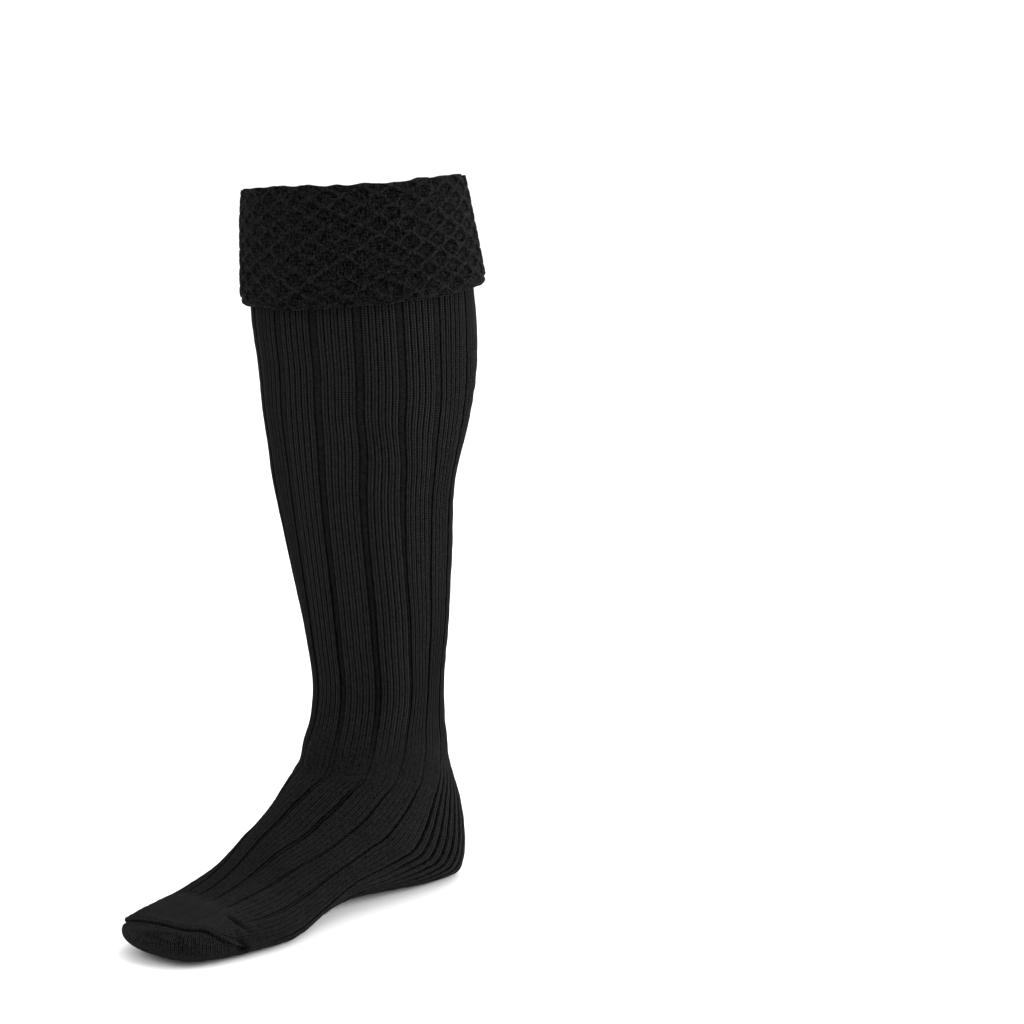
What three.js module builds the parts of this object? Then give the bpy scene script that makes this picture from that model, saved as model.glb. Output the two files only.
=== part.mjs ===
// A turnover-top kilt hose sock in the shape that it has when worn: hollow, knitted, and made of six pieces.
// Millimetres. +Z is up, the toes point along -Y and the inner side of the foot is +X.
// The origin is the middle of the mouth, at the height of the turned fold.

import * as THREE from 'three';

// Overall sizes
const SOCK_HEIGHT = 427;
const CALF_DEPTH = 131;
const CALF_WIDTH = 121;
const FOOT_LENGTH = 256;
const FOOT_WIDTH = 81;
const CREASE_HEIGHT = 86;

// Knit wall, and the space between pieces that touch
const WALL = 2.4;
const GAP = 0.3;

// Turned-down cuff
const CUFF_DEPTH = 66;
const CUFF_WALL = 4;
const CUFF_RETURN = 9;
const CUFF_BAND = 3.4;
const HEM_FLARE = 2;
const DIAMOND_WIDTH = 17.1;
const DIAMOND_HEIGHT = 10.4;
const DIAMOND_RELIEF = 0.6;

// Ribs
const PANELS = 16;
const GUTTER_WIDTH = 6;
const GUTTER_DEPTH = 0.9;
const HEEL_RIBS = 14;
const HEEL_GROOVE = 0.7;
const CREASE_DENT = 0.5;

// Toe seam
const SEAM_WIDTH = 2.8;
const SEAM_HEIGHT = 1.4;

// Fineness of the facets
const COLUMNS_PER_PANEL = 4;
const LEG_BANDS = 11;
const HEEL_BANDS = 10;
const FOREFOOT_BANDS = 5;
const TOE_BANDS = 6;
const TOE_COLUMNS = 40;
const FOLD_STEPS = 6;
const LINING_BANDS = 3;
const LEAST_DIAMOND_ROWS = 2;
const SEAM_STATIONS = 24;
const SEAM_SIDES = 6;
const RING_STEPS = 180;
const HALVINGS = 40;

// Cross-sections from the mouth to the tip of the toe, each a closed ring with a front and a back point.
// front and back are their distances ahead of and behind the ankle's upright line, frontUp and backUp their
// heights, middle, inner and outer the widths from the ring's middle line. In the leg these are shares of
// CALF_DEPTH, SOCK_HEIGHT and CALF_WIDTH. In the foot they are shares of FOOT_LENGTH, CREASE_HEIGHT and FOOT_WIDTH.
// widest is where the ring is widest, from back to front. topPower, innerPower and outerPower are the
// powers of its curves: 2 is an ellipse and 3 is boxier. roll is the rise per millimetre toward the inner side.
const SECTION_COLUMNS = [
  'front', 'frontUp', 'back', 'backUp', 'middle', 'inner', 'outer',
  'widest', 'topPower', 'innerPower', 'outerPower', 'roll',
];
const LEG_SECTIONS = {
  mouth: [0.588, 1.005, 0.313, 0.995, -0.017, 0.479, 0.493, 0.47, 2.1, 2.1, 2.1, 0.125],
  hem: [0.594, 0.842, 0.405, 0.861, -0.017, 0.521, 0.496, 0.46, 2.1, 2.1, 2.1, 0.06],
  calf: [0.565, 0.754, 0.427, 0.761, -0.017, 0.521, 0.479, 0.45, 2.1, 2.1, 2.1, 0.02],
  underCalf: [0.534, 0.679, 0.389, 0.682, -0.017, 0.496, 0.463, 0.45, 2.1, 2.1, 2.1, 0],
  hollow: [0.477, 0.585, 0.321, 0.585, -0.017, 0.438, 0.43, 0.46, 2.1, 2.1, 2.1, 0],
  shin: [0.412, 0.48, 0.313, 0.475, -0.008, 0.397, 0.372, 0.47, 2.1, 2.1, 2.1, 0],
  lowShin: [0.351, 0.375, 0.317, 0.368, 0, 0.347, 0.31, 0.48, 2.1, 2.1, 2.1, 0],
  ankle: [0.317, 0.286, 0.317, 0.272, 0, 0.306, 0.281, 0.5, 2.1, 2.1, 2.1, 0],
};
const FOOT_SECTIONS = {
  crease: [0.215, 1, 0.188, 0.907, 0, 0.457, 0.42, 0.5, 2.1, 2.1, 2.1, 0],
  heelTop: [0.254, 0.895, 0.234, 0.512, 0, 0.469, 0.42, 0.5, 2.1, 2.1, 2.1, 0],
  heelBack: [0.297, 0.791, 0.232, 0.06, 0, 0.457, 0.42, 0.5, 2.1, 2.5, 2.4, 0],
  heelBase: [0.34, 0.686, 0.165, -0.035, 0, 0.444, 0.42, 0.48, 2.1, 2.5, 2.8, 0],
  arch: [0.387, 0.581, -0.07, -0.023, 0.012, 0.43, 0.444, 0.44, 2.1, 1.45, 2.8, 0],
  midfoot: [0.457, 0.435, -0.242, -0.023, 0.037, 0.46, 0.469, 0.42, 2.1, 1.6, 2.8, 0],
  ball: [0.547, 0.337, -0.422, -0.023, 0.074, 0.525, 0.481, 0.4, 2.1, 2.9, 2.8, 0],
  toes: [0.625, 0.302, -0.57, -0.02, 0.086, 0.506, 0.444, 0.42, 2.2, 3, 2.6, 0],
  toeFront: [0.69, 0.279, -0.672, 0, 0.095, 0.438, 0.37, 0.45, 2.3, 2.8, 2.1, 0],
  toeTip: [0.738, 0.25, -0.738, 0.06, 0.1, 0.325, 0.265, 0.47, 2.3, 2.3, 2, 0],
  toeEnd: [0.77, 0.17, -0.77, 0.145, 0.1, 0.055, 0.055, 0.5, 2, 2, 2, 0],
};

// Where four of the gutters between the ribs lie on each ring, counted in sixteenths of its girth from the front
// and round by the inner side. Gutter 5 is the inner edge of the heel pocket and gutter 11 its outer edge.
const GUTTER_COLUMNS = [0, 3, 5, 11];
const GUTTER_PLACES = {
  mouth: [0, 3, 5, 11],
  hem: [0, 3, 5, 11],
  calf: [0, 3, 4.95, 11],
  underCalf: [-0.1, 3.1, 5.05, 10.9],
  hollow: [-0.2, 3.2, 5.15, 10.8],
  shin: [-0.35, 3.3, 5.2, 10.7],
  lowShin: [-0.5, 3.45, 5.3, 10.5],
  ankle: [-0.6, 3.55, 5.4, 10.4],
  crease: [-0.5, 3.36, 5.45, 10.5],
  heelTop: [-0.5, 2.7, 4.75, 11.2],
  heelBack: [-0.55, 2.27, 4.3, 11.6],
  heelBase: [-0.6, 2.25, 4.08, 11.8],
  arch: [-0.8, 2.24, 4.3, 11.7],
  midfoot: [-0.95, 2, 4.6, 11.4],
  ball: [-1, 1.85, 4.6, 11.3],
  toes: [-1.3, 2, 4.3, 11.3],
  toeFront: [-1.3, 2, 4.3, 11.3],
  toeTip: [-1.3, 2, 4.3, 11.3],
  toeEnd: [-1.3, 2, 4.3, 11.3],
};

// How far the cuff's outer layer stands off the leg, as shares of the cuff's depth and of its wall.
const CUFF_STAND = [
  { down: 0, ease: 0.1 },
  { down: 0.3, ease: 0.35 },
  { down: 0.65, ease: 0.35 },
  { down: 1, ease: 0.4 },
];
const FLARE_PLACE = 0.37;

// How far above or below an even tilt the turned fold runs round the mouth, as shares of the cuff's depth.
const RIM_WAVE = [
  { around: 0, rise: -0.01 },
  { around: 0.1, rise: -0.052 },
  { around: 0.19, rise: -0.05 },
  { around: 0.25, rise: -0.008 },
  { around: 0.31, rise: 0.018 },
  { around: 0.45, rise: 0.005 },
  { around: 0.6, rise: 0 },
  { around: 1, rise: -0.01 },
];

// Where the lining of the cuff's outer layer begins below the rim, in radii of the fold.
const LINING_TOP = 1.4;

// The toe seam's way over the toes, from its inner end: rows past the ball, and sixteenths of the girth.
const SEAM_PATH = [
  { past: 0.9, around: 4.56 },
  { past: 1.36, around: 3.64 },
  { past: 1.6, around: 2.82 },
  { past: 2.17, around: 2.24 },
  { past: 2.62, around: 0 },
  { past: 2.74, around: -2.2 },
  { past: 2.2, around: -3.6 },
  { past: 1.5, around: -4.4 },
];

const SECTION_NAMES = [...Object.keys(LEG_SECTIONS), ...Object.keys(FOOT_SECTIONS)];
const CREASE_ROW = SECTION_NAMES.indexOf('crease');
const ARCH_ROW = SECTION_NAMES.indexOf('arch');
const BALL_ROW = SECTION_NAMES.indexOf('ball');
const RIBS_PAST_BALL = 0.65;
const RIB_END_ROW = BALL_ROW + RIBS_PAST_BALL;
const RINGS_PAST_TIP = 0.8;
const LAST_TOE_ROW = SECTION_NAMES.indexOf('toeTip') + RINGS_PAST_TIP;
const TIP_ROW = SECTION_NAMES.indexOf('toeEnd');
const HEEL_START = 5;
const HEEL_STOP = 11;

// How many gaps each of two pieces stands back where they meet, and where the pocket and the sole do at the arch.
const EDGE_TRIM = 0.5;
const ARCH_TRIM = 1;

// The largest share of a panel between its gutter's middle and the edge of its rib.
const WIDEST_SHOULDER = 0.3;

// Rows nearer than this are the same row.
const SAME_ROW = 0.01;

// How much thinner the toe seam's cord is at its two ends.
const SEAM_TAPER = 0.5;

// One section's row of shares as lengths.
function sectionOf(shares, depth, height, width) {
  const scales = {
    front: -depth, back: depth, frontUp: height, backUp: height, middle: width, inner: width, outer: width,
  };
  const section = {};
  SECTION_COLUMNS.forEach((column, index) => {
    section[column] = shares[index] * (scales[column] ?? 1);
  });
  return section;
}

const SECTIONS = [
  ...Object.values(LEG_SECTIONS).map((shares) => sectionOf(shares, CALF_DEPTH, SOCK_HEIGHT, CALF_WIDTH)),
  ...Object.values(FOOT_SECTIONS).map((shares) => sectionOf(shares, FOOT_LENGTH, CREASE_HEIGHT, FOOT_WIDTH)),
];

// A smooth curve through one value of each section, at any row between them.
function alongRows(valueOf, row) {
  const last = SECTIONS.length - 1;
  const at = THREE.MathUtils.clamp(row, 0, last);
  const base = Math.min(Math.floor(at), last - 1);
  const value = (index) => valueOf(THREE.MathUtils.clamp(index, 0, last));
  const [before, from, to, after] = [-1, 0, 1, 2].map((step) => value(base + step));
  const u = at - base;
  const bend = 2 * before - 5 * from + 4 * to - after;
  const twist = 3 * (from - to) + after - before;
  return from + 0.5 * u * (to - before + u * (bend + u * twist));
}

function sectionAt(row) {
  const section = {};
  for (const column of SECTION_COLUMNS) {
    section[column] = alongRows((index) => SECTIONS[index][column], row);
  }
  return section;
}

// The ring of points at a row, from its front point round by the inner side, with the length walked so far.
const rings = new Map();
function ringAt(row) {
  const key = row.toFixed(5);
  if (rings.has(key)) return rings.get(key);
  const section = sectionAt(row);
  const points = [];
  const walked = [0];
  for (let step = 0; step <= RING_STEPS; step += 1) {
    const angle = Math.PI / 2 - (step / RING_STEPS) * 2 * Math.PI;
    const side = Math.cos(angle);
    const rise = Math.sin(angle);
    const lowPower = side > 0 ? section.innerPower : section.outerPower;
    const power = rise > 0 ? section.topPower : lowPower;
    const reach = side > 0 ? section.inner : section.outer;
    const across = reach * Math.sign(side) * Math.abs(side) ** (2 / power);
    const room = rise > 0 ? 1 - section.widest : section.widest;
    const share = section.widest + room * Math.sign(rise) * Math.abs(rise) ** (2 / power);
    const forward = THREE.MathUtils.lerp(section.back, section.front, share);
    const up = THREE.MathUtils.lerp(section.backUp, section.frontUp, share) + section.roll * across;
    points.push(new THREE.Vector3(section.middle + across, forward, up));
    if (step > 0) walked.push(walked[step - 1] + points[step].distanceTo(points[step - 1]));
  }
  const ring = { points, walked, girth: walked[RING_STEPS] };
  rings.set(key, ring);
  return ring;
}

// A point of the skin: a row, and a share of the ring's girth from the front.
function skinPoint(row, around) {
  const ring = ringAt(row);
  const target = THREE.MathUtils.euclideanModulo(around, 1) * ring.girth;
  let low = 0;
  let high = RING_STEPS;
  while (high - low > 1) {
    const middle = (low + high) >> 1;
    if (ring.walked[middle] <= target) low = middle;
    else high = middle;
  }
  const step = (target - ring.walked[low]) / (ring.walked[high] - ring.walked[low]);
  return ring.points[low].clone().lerp(ring.points[high], step);
}

const ROW_NUDGE = 0.02;
const AROUND_NUDGE = 0.004;

// Which way the skin runs down the rows, round the ring and outward.
function skinFrame(row, around) {
  const down = skinPoint(row + ROW_NUDGE, around).sub(skinPoint(row - ROW_NUDGE, around));
  const round = skinPoint(row, around + AROUND_NUDGE).sub(skinPoint(row, around - AROUND_NUDGE));
  const out = down.clone().cross(round).normalize();
  return { down: down.divideScalar(2 * ROW_NUDGE), out };
}

// A point off the skin, never lower than the floor that it lies on.
function offSkin(row, around, out, floor = 0) {
  const point = skinPoint(row, around).addScaledVector(skinFrame(row, around).out, out);
  point.z = Math.max(point.z, floor);
  return point;
}

// How many rows one length takes at a place.
function rowsFor(length, row, around) {
  return length / skinFrame(row, around).down.length();
}

// The share of the girth where a gutter, or a place between two, lies on a row.
function gutterAround(row, gutter) {
  const places = GUTTER_COLUMNS.map((_, index) => (
    alongRows((section) => GUTTER_PLACES[SECTION_NAMES[section]][index], row)
  ));
  const gutters = [...GUTTER_COLUMNS, PANELS];
  places.push(places[0] + PANELS);
  const next = Math.max(1, gutters.findIndex((known) => known >= gutter));
  const share = (gutter - gutters[next - 1]) / (gutters[next] - gutters[next - 1]);
  return THREE.MathUtils.lerp(places[next - 1], places[next], share) / PANELS;
}

// The row at which the leg's ring lies a given length below the mouth.
function rowBelowMouth(drop) {
  let low = 0;
  let high = CREASE_ROW;
  for (let pass = 0; pass < HALVINGS; pass += 1) {
    const middle = (low + high) / 2;
    const section = sectionAt(middle);
    const height = (section.frontUp + section.backUp) / 2;
    if (SECTIONS[0].frontUp - height < drop) low = middle;
    else high = middle;
  }
  return low;
}

function geometryOf(points, triangles) {
  const geometry = new THREE.BufferGeometry().setFromPoints(points);
  geometry.setIndex(triangles.flat());
  geometry.computeVertexNormals();
  return geometry;
}

// Closes an outer face and its inner face, which has the same triangles, with a wall along each open edge.
function closedWall(outside, inside, triangles) {
  const count = outside.length;
  const edges = new Map();
  for (const [a, b, c] of triangles) {
    for (const [from, to] of [[a, b], [b, c], [c, a]]) edges.set(`${from} ${to}`, [from, to]);
  }
  const faces = [...triangles];
  for (const [a, b, c] of triangles) faces.push([a + count, c + count, b + count]);
  for (const [from, to] of edges.values()) {
    if (edges.has(`${to} ${from}`)) continue;
    faces.push([to, from, from + count], [to, from + count, to + count]);
  }
  return geometryOf([...outside, ...inside], faces);
}

// The triangles of a grid of points, in rows, whose columns may close on themselves. Each square is split along
// one of its diagonals.
function gridTriangles(rows, columns, wraps, holds = () => true, turned = () => false) {
  const triangles = [];
  for (let i = 0; i < rows - 1; i += 1) {
    for (let j = 0; j < (wraps ? columns : columns - 1); j += 1) {
      if (!holds(i, j)) continue;
      const next = (j + 1) % columns;
      const [a, b] = [i * columns + j, i * columns + next];
      const [c, d] = [b + columns, a + columns];
      if (turned(i, j)) triangles.push([a, d, c], [a, c, b]);
      else triangles.push([a, d, b], [b, d, c]);
    }
  }
  return triangles;
}

// The rows from one to another in equal bands.
function rowsBetween(from, to, bands) {
  return Array.from({ length: bands + 1 }, (_, index) => THREE.MathUtils.lerp(from, to, index / bands));
}

// The columns of one panel: its gutter, the two edges of its rib and the rib's middle.
function panelColumn(row, column) {
  const panelWidth = ringAt(row).girth / PANELS;
  const shoulder = Math.min(GUTTER_WIDTH / 2 / panelWidth, WIDEST_SHOULDER);
  const places = [0, shoulder, 0.5, 1 - shoulder];
  const panel = Math.floor(column / COLUMNS_PER_PANEL);
  return panel + places[column % COLUMNS_PER_PANEL];
}

// How deep the ribbed knit is pressed in: gutters between the ribs and a dent along the ankle crease.
function ribDepth(row, column) {
  const gutter = column % COLUMNS_PER_PANEL === 0 ? GUTTER_DEPTH : 0;
  const crease = Math.abs(row - CREASE_ROW) < SAME_ROW ? CREASE_DENT : 0;
  return Math.max(gutter, crease);
}

const RIB_COLUMNS = PANELS * COLUMNS_PER_PANEL;
const HEEL_FIRST_COLUMN = HEEL_START * COLUMNS_PER_PANEL;
const HEEL_LAST_COLUMN = HEEL_STOP * COLUMNS_PER_PANEL;

// A ribbed tube through the given rows. The trim of each point says how many gaps it is moved down the rows
// and round the ring, to leave room for a neighbour.
function ribbedTube(rows, holds, trimOf) {
  const outside = [];
  const inside = [];
  rows.forEach((row, i) => {
    for (let column = 0; column < RIB_COLUMNS; column += 1) {
      const place = gutterAround(row, panelColumn(row, column));
      const trim = trimOf(i, column);
      const at = row + rowsFor(trim.down * GAP, row, place);
      const around = place + (trim.round * GAP) / ringAt(row).girth;
      outside.push(offSkin(at, around, -ribDepth(row, column)));
      inside.push(offSkin(at, around, -WALL, WALL));
    }
  });
  return closedWall(outside, inside, gridTriangles(rows.length, RIB_COLUMNS, true, holds));
}

function legGeometry() {
  const rows = rowsBetween(rowBelowMouth(CUFF_RETURN + GAP), CREASE_ROW, LEG_BANDS);
  const trimOf = (i) => ({ down: i === LEG_BANDS ? -EDGE_TRIM : 0, round: 0 });
  return ribbedTube(rows, () => true, trimOf);
}

// The foot's tube, with a notch at the back where the heel pocket sits.
function footGeometry() {
  const rows = [
    ...rowsBetween(CREASE_ROW, ARCH_ROW, HEEL_BANDS),
    ...rowsBetween(ARCH_ROW, RIB_END_ROW, FOREFOOT_BANDS).slice(1),
  ];
  const inNotch = (column) => column >= HEEL_FIRST_COLUMN && column < HEEL_LAST_COLUMN;
  const holds = (i, column) => i >= HEEL_BANDS || !inNotch(column);
  const trimOf = (i, column) => {
    const trim = { down: 0, round: 0 };
    if (i === 0) trim.down = EDGE_TRIM;
    if (i === rows.length - 1) trim.down = -EDGE_TRIM;
    if (i <= HEEL_BANDS && column === HEEL_FIRST_COLUMN) trim.round = -EDGE_TRIM;
    if (i <= HEEL_BANDS && column === HEEL_LAST_COLUMN) trim.round = EDGE_TRIM;
    const onArch = column >= HEEL_FIRST_COLUMN && column <= HEEL_LAST_COLUMN;
    if (i === HEEL_BANDS && onArch) trim.down = ARCH_TRIM;
    return trim;
  };
  return ribbedTube(rows, holds, trimOf);
}

// The heel pocket: a curved patch of close ribs from the ankle crease round the heel to the arch.
function heelGeometry() {
  const rows = rowsBetween(CREASE_ROW, ARCH_ROW, HEEL_BANDS);
  const columns = 2 * HEEL_RIBS;
  const outside = [];
  const inside = [];
  rows.forEach((row, i) => {
    for (let column = 0; column <= columns; column += 1) {
      const gutter = THREE.MathUtils.lerp(HEEL_START, HEEL_STOP, column / columns);
      const place = gutterAround(row, gutter);
      const onEdge = column === 0 || column === columns;
      const roundTrim = onEdge ? Math.sign(columns / 2 - column) * EDGE_TRIM : 0;
      const downTrim = (i === 0 ? EDGE_TRIM : 0) - (i === HEEL_BANDS ? ARCH_TRIM : 0);
      const at = row + rowsFor(downTrim * GAP, row, place);
      const around = place + (roundTrim * GAP) / ringAt(row).girth;
      const groove = onEdge ? GUTTER_DEPTH : (1 - (column % 2)) * HEEL_GROOVE;
      const dent = i === 0 ? CREASE_DENT : 0;
      outside.push(offSkin(at, around, -Math.max(groove, dent)));
      inside.push(offSkin(at, around, -WALL, WALL));
    }
  });
  return closedWall(outside, inside, gridTriangles(rows.length, columns + 1, false));
}

// The plain toe, closed at its tip.
function toeGeometry() {
  const rows = rowsBetween(RIB_END_ROW, LAST_TOE_ROW, TOE_BANDS);
  const outside = [];
  const inside = [];
  rows.forEach((row, i) => {
    for (let column = 0; column < TOE_COLUMNS; column += 1) {
      const place = column / TOE_COLUMNS;
      const at = row + rowsFor(i === 0 ? EDGE_TRIM * GAP : 0, row, place);
      outside.push(offSkin(at, place, 0));
      inside.push(offSkin(at, place, -WALL, WALL));
    }
  });
  const tip = skinPoint(TIP_ROW, 0).add(skinPoint(TIP_ROW, 0.5)).multiplyScalar(0.5);
  outside.push(tip);
  inside.push(tip.clone().add(new THREE.Vector3(0, WALL, 0)));
  const triangles = gridTriangles(rows.length, TOE_COLUMNS, true);
  const first = TOE_BANDS * TOE_COLUMNS;
  const tipIndex = outside.length - 1;
  for (let column = 0; column < TOE_COLUMNS; column += 1) {
    const next = (column + 1) % TOE_COLUMNS;
    triangles.push([first + column, tipIndex, first + next]);
  }
  return closedWall(outside, inside, triangles);
}

// A half-round cord of stitches over the toe, lying along its path on the skin.
function seamGeometry() {
  const path = new THREE.CatmullRomCurve3(
    SEAM_PATH.map(({ past, around }) => new THREE.Vector3(BALL_ROW + past, around / PANELS, 0)),
  );
  const points = [];
  const places = path.getPoints(SEAM_STATIONS);
  const spine = places.map(({ x, y }) => offSkin(x, y, GAP));
  places.forEach(({ x, y }, station) => {
    const along = spine[Math.min(station + 1, SEAM_STATIONS)].clone().sub(spine[Math.max(station - 1, 0)]);
    const { out } = skinFrame(x, y);
    const side = out.clone().cross(along).normalize();
    const taper = station === 0 || station === SEAM_STATIONS ? SEAM_TAPER : 1;
    for (let corner = 0; corner < SEAM_SIDES; corner += 1) {
      const angle = (corner / (SEAM_SIDES - 1)) * Math.PI;
      points.push(
        spine[station].clone()
          .addScaledVector(side, (Math.cos(angle) * SEAM_WIDTH * taper) / 2)
          .addScaledVector(out, Math.sin(angle) * SEAM_HEIGHT * taper),
      );
    }
  });
  const triangles = gridTriangles(SEAM_STATIONS + 1, SEAM_SIDES, true);
  const end = SEAM_STATIONS * SEAM_SIDES;
  for (let corner = 1; corner < SEAM_SIDES - 1; corner += 1) {
    triangles.push([0, corner, corner + 1], [end, end + corner + 1, end + corner]);
  }
  return geometryOf(points, triangles.map(([a, b, c]) => [a, c, b]));
}

// The value that a short table of named columns gives at a place between two of its entries.
function fromTable(table, placeColumn, valueColumn, at) {
  const next = Math.max(1, table.findIndex((entry) => entry[placeColumn] >= at));
  const [before, after] = [table[next - 1], table[next]];
  const part = (at - before[placeColumn]) / (after[placeColumn] - before[placeColumn]);
  return THREE.MathUtils.lerp(before[valueColumn], after[valueColumn], part);
}

// How far the cuff's outer layer stands clear of the leg at a share of the cuff's depth.
function cuffEase(share) {
  return fromTable(CUFF_STAND, 'down', 'ease', share) * CUFF_WALL;
}

// How much the cuff is raised by the wave of its rim, which dies out down the length of the return.
function rimRise(around, drop) {
  return fromTable(RIM_WAVE, 'around', 'rise', around) * CUFF_DEPTH * Math.max(0, 1 - drop / CUFF_RETURN);
}

// The cuff's cut from the hem up its outer face, over the fold, down inside, and back between the layers.
// Each point has a drop below the mouth, a distance out from the leg's skin, and its relief and flare.
function cuffProfile() {
  const top = cuffEase(0) + CUFF_WALL;
  const radius = (top + WALL) / 2;
  const woven = CUFF_DEPTH - CUFF_BAND - radius;
  const reliefRows = Math.max(LEAST_DIAMOND_ROWS, Math.round(woven / (DIAMOND_HEIGHT / 2)));
  const outerOut = (share) => cuffEase(share) + CUFF_WALL;
  const profile = [{ drop: CUFF_DEPTH, out: outerOut(1) - DIAMOND_RELIEF, relief: 0, flare: 1 }];
  for (let i = 0; i <= reliefRows; i += 1) {
    const drop = THREE.MathUtils.lerp(CUFF_DEPTH - CUFF_BAND, radius, i / reliefRows);
    const share = drop / CUFF_DEPTH;
    const ends = i === 0 || i === reliefRows;
    profile.push({ drop, out: outerOut(share), relief: ends ? 0 : 1, flare: share ** 2 });
  }
  for (let i = 1; i <= FOLD_STEPS; i += 1) {
    const angle = (i / FOLD_STEPS) * Math.PI;
    const out = (top - WALL) / 2 + radius * Math.cos(angle);
    profile.push({ drop: radius * (1 - Math.sin(angle)), out, relief: 0, flare: 0 });
  }
  profile.push({ drop: CUFF_RETURN, out: -WALL, relief: 0, flare: 0 });
  profile.push({ drop: CUFF_RETURN, out: 0, relief: 0, flare: 0 });
  profile.push({ drop: radius * LINING_TOP, out: 0, relief: 0, flare: 0 });
  for (let i = 0; i <= LINING_BANDS; i += 1) {
    const drop = THREE.MathUtils.lerp(radius * LINING_TOP, CUFF_DEPTH, i / LINING_BANDS);
    const share = drop / CUFF_DEPTH;
    profile.push({ drop, out: cuffEase(share), relief: 0, flare: share ** 2 });
  }
  return profile;
}

// The turned-down cuff. Raised cords slant both ways over it and cross at every second point of the grid, with a
// low diamond between each four crossings.
function cuffGeometry() {
  const profile = cuffProfile();
  const columns = 2 * Math.round(ringAt(rowBelowMouth(CUFF_DEPTH / 2)).girth / DIAMOND_WIDTH);
  const points = [];
  const onCord = (i, column) => (i + column) % 2 === 0;
  profile.forEach(({ drop, out, relief, flare }, i) => {
    const row = rowBelowMouth(drop);
    for (let column = 0; column < columns; column += 1) {
      const around = column / columns;
      const raised = onCord(i, column) ? DIAMOND_RELIEF : -DIAMOND_RELIEF;
      const facing = Math.max(0, Math.cos((around - FLARE_PLACE) * 2 * Math.PI));
      const stand = out + relief * raised + flare * facing ** 2 * HEM_FLARE;
      const point = offSkin(row, around, stand);
      point.z += rimRise(around, drop);
      points.push(point);
    }
  });
  const rows = profile.length;
  const triangles = gridTriangles(rows, columns, true, () => true, onCord);
  const last = (rows - 1) * columns;
  for (let column = 0; column < columns; column += 1) {
    const next = (column + 1) % columns;
    triangles.push([last + column, column, last + next], [last + next, column, next]);
  }
  return geometryOf(points, triangles.map(([a, b, c]) => [a, c, b]));
}

function knit(name, geometry, colour, roughness) {
  const material = new THREE.MeshStandardMaterial({ color: colour, roughness, metalness: 0 });
  const mesh = new THREE.Mesh(geometry, material);
  mesh.name = name;
  return mesh;
}

const sock = new THREE.Group();
sock.name = 'kilt_hose_sock';
sock.add(
  knit('turnover_cuff', cuffGeometry(), 0x1b1b1c, 0.95),
  knit('leg', legGeometry(), 0x1f1f20, 0.92),
  knit('heel', heelGeometry(), 0x222223, 0.92),
  knit('foot', footGeometry(), 0x1f1f20, 0.92),
  knit('toe_cap', toeGeometry(), 0x212122, 0.9),
  knit('toe_seam', seamGeometry(), 0x2a2a2b, 0.9),
);

// The floor lies SOCK_HEIGHT below the middle of the mouth.
const mouth = SECTIONS[0];
sock.position.set(-mouth.middle, -(mouth.front + mouth.back) / 2, -(mouth.frontUp + mouth.backUp) / 2);

const part = new THREE.Group();
part.add(sock);

export default part;
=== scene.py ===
"""A kilt hose sock, dressed: ribbed leg and foot, close-ribbed heel, plain toe, diamond trellis cuff.

The skin is the one that the solids are cut from: cross-sections from the mouth to the tip of the toe.
Lengths are in millimetres until a mesh is written, which is in metres.
"""
import math

import bpy
import numpy as np
from mathutils import Matrix, Vector


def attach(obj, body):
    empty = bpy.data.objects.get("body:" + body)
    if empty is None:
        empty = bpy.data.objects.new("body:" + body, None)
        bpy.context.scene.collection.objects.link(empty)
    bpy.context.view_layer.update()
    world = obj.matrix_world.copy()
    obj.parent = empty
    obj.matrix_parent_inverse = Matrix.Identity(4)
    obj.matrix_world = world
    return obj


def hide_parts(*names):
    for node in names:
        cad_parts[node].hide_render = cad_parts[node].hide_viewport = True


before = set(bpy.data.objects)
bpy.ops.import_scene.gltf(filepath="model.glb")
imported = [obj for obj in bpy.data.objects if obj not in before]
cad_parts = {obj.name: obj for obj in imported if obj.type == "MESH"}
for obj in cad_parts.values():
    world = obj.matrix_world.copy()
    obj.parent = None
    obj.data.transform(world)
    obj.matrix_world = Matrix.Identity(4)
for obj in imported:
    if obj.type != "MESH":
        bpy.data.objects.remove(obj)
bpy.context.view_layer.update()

# Overall sizes, the same as in the source of the solids
SOCK_HEIGHT = 427.0
CALF_DEPTH = 131.0
CALF_WIDTH = 121.0
FOOT_LENGTH = 256.0
FOOT_WIDTH = 81.0
CREASE_HEIGHT = 86.0
WALL = 2.4
MM = 0.001

# Cuff: FLARE_PLACE is a share of the girth, and CORD_HALF_WIDTH a share of a diamond's side
CUFF_DEPTH = 66.0
CUFF_WALL = 4.0
CUFF_RETURN = 9.0
CUFF_BAND = 3.4
HEM_FLARE = 2.0
FLARE_PLACE = 0.37
DIAMONDS_AROUND = 22
DIAMOND_HEIGHT = 10.3
CORD_RELIEF = 1.9
CORD_HALF_WIDTH = 0.2
CORD_ROUNDNESS = 0.55
CROSSING_FLATNESS = 0.5

# Ribs
PANELS = 16
RIB_WALES = 5
WALES_PER_PANEL = 7
TURN_WALES = PANELS * WALES_PER_PANEL
HEEL_RIBS = 20
COURSE = 1.4

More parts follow.
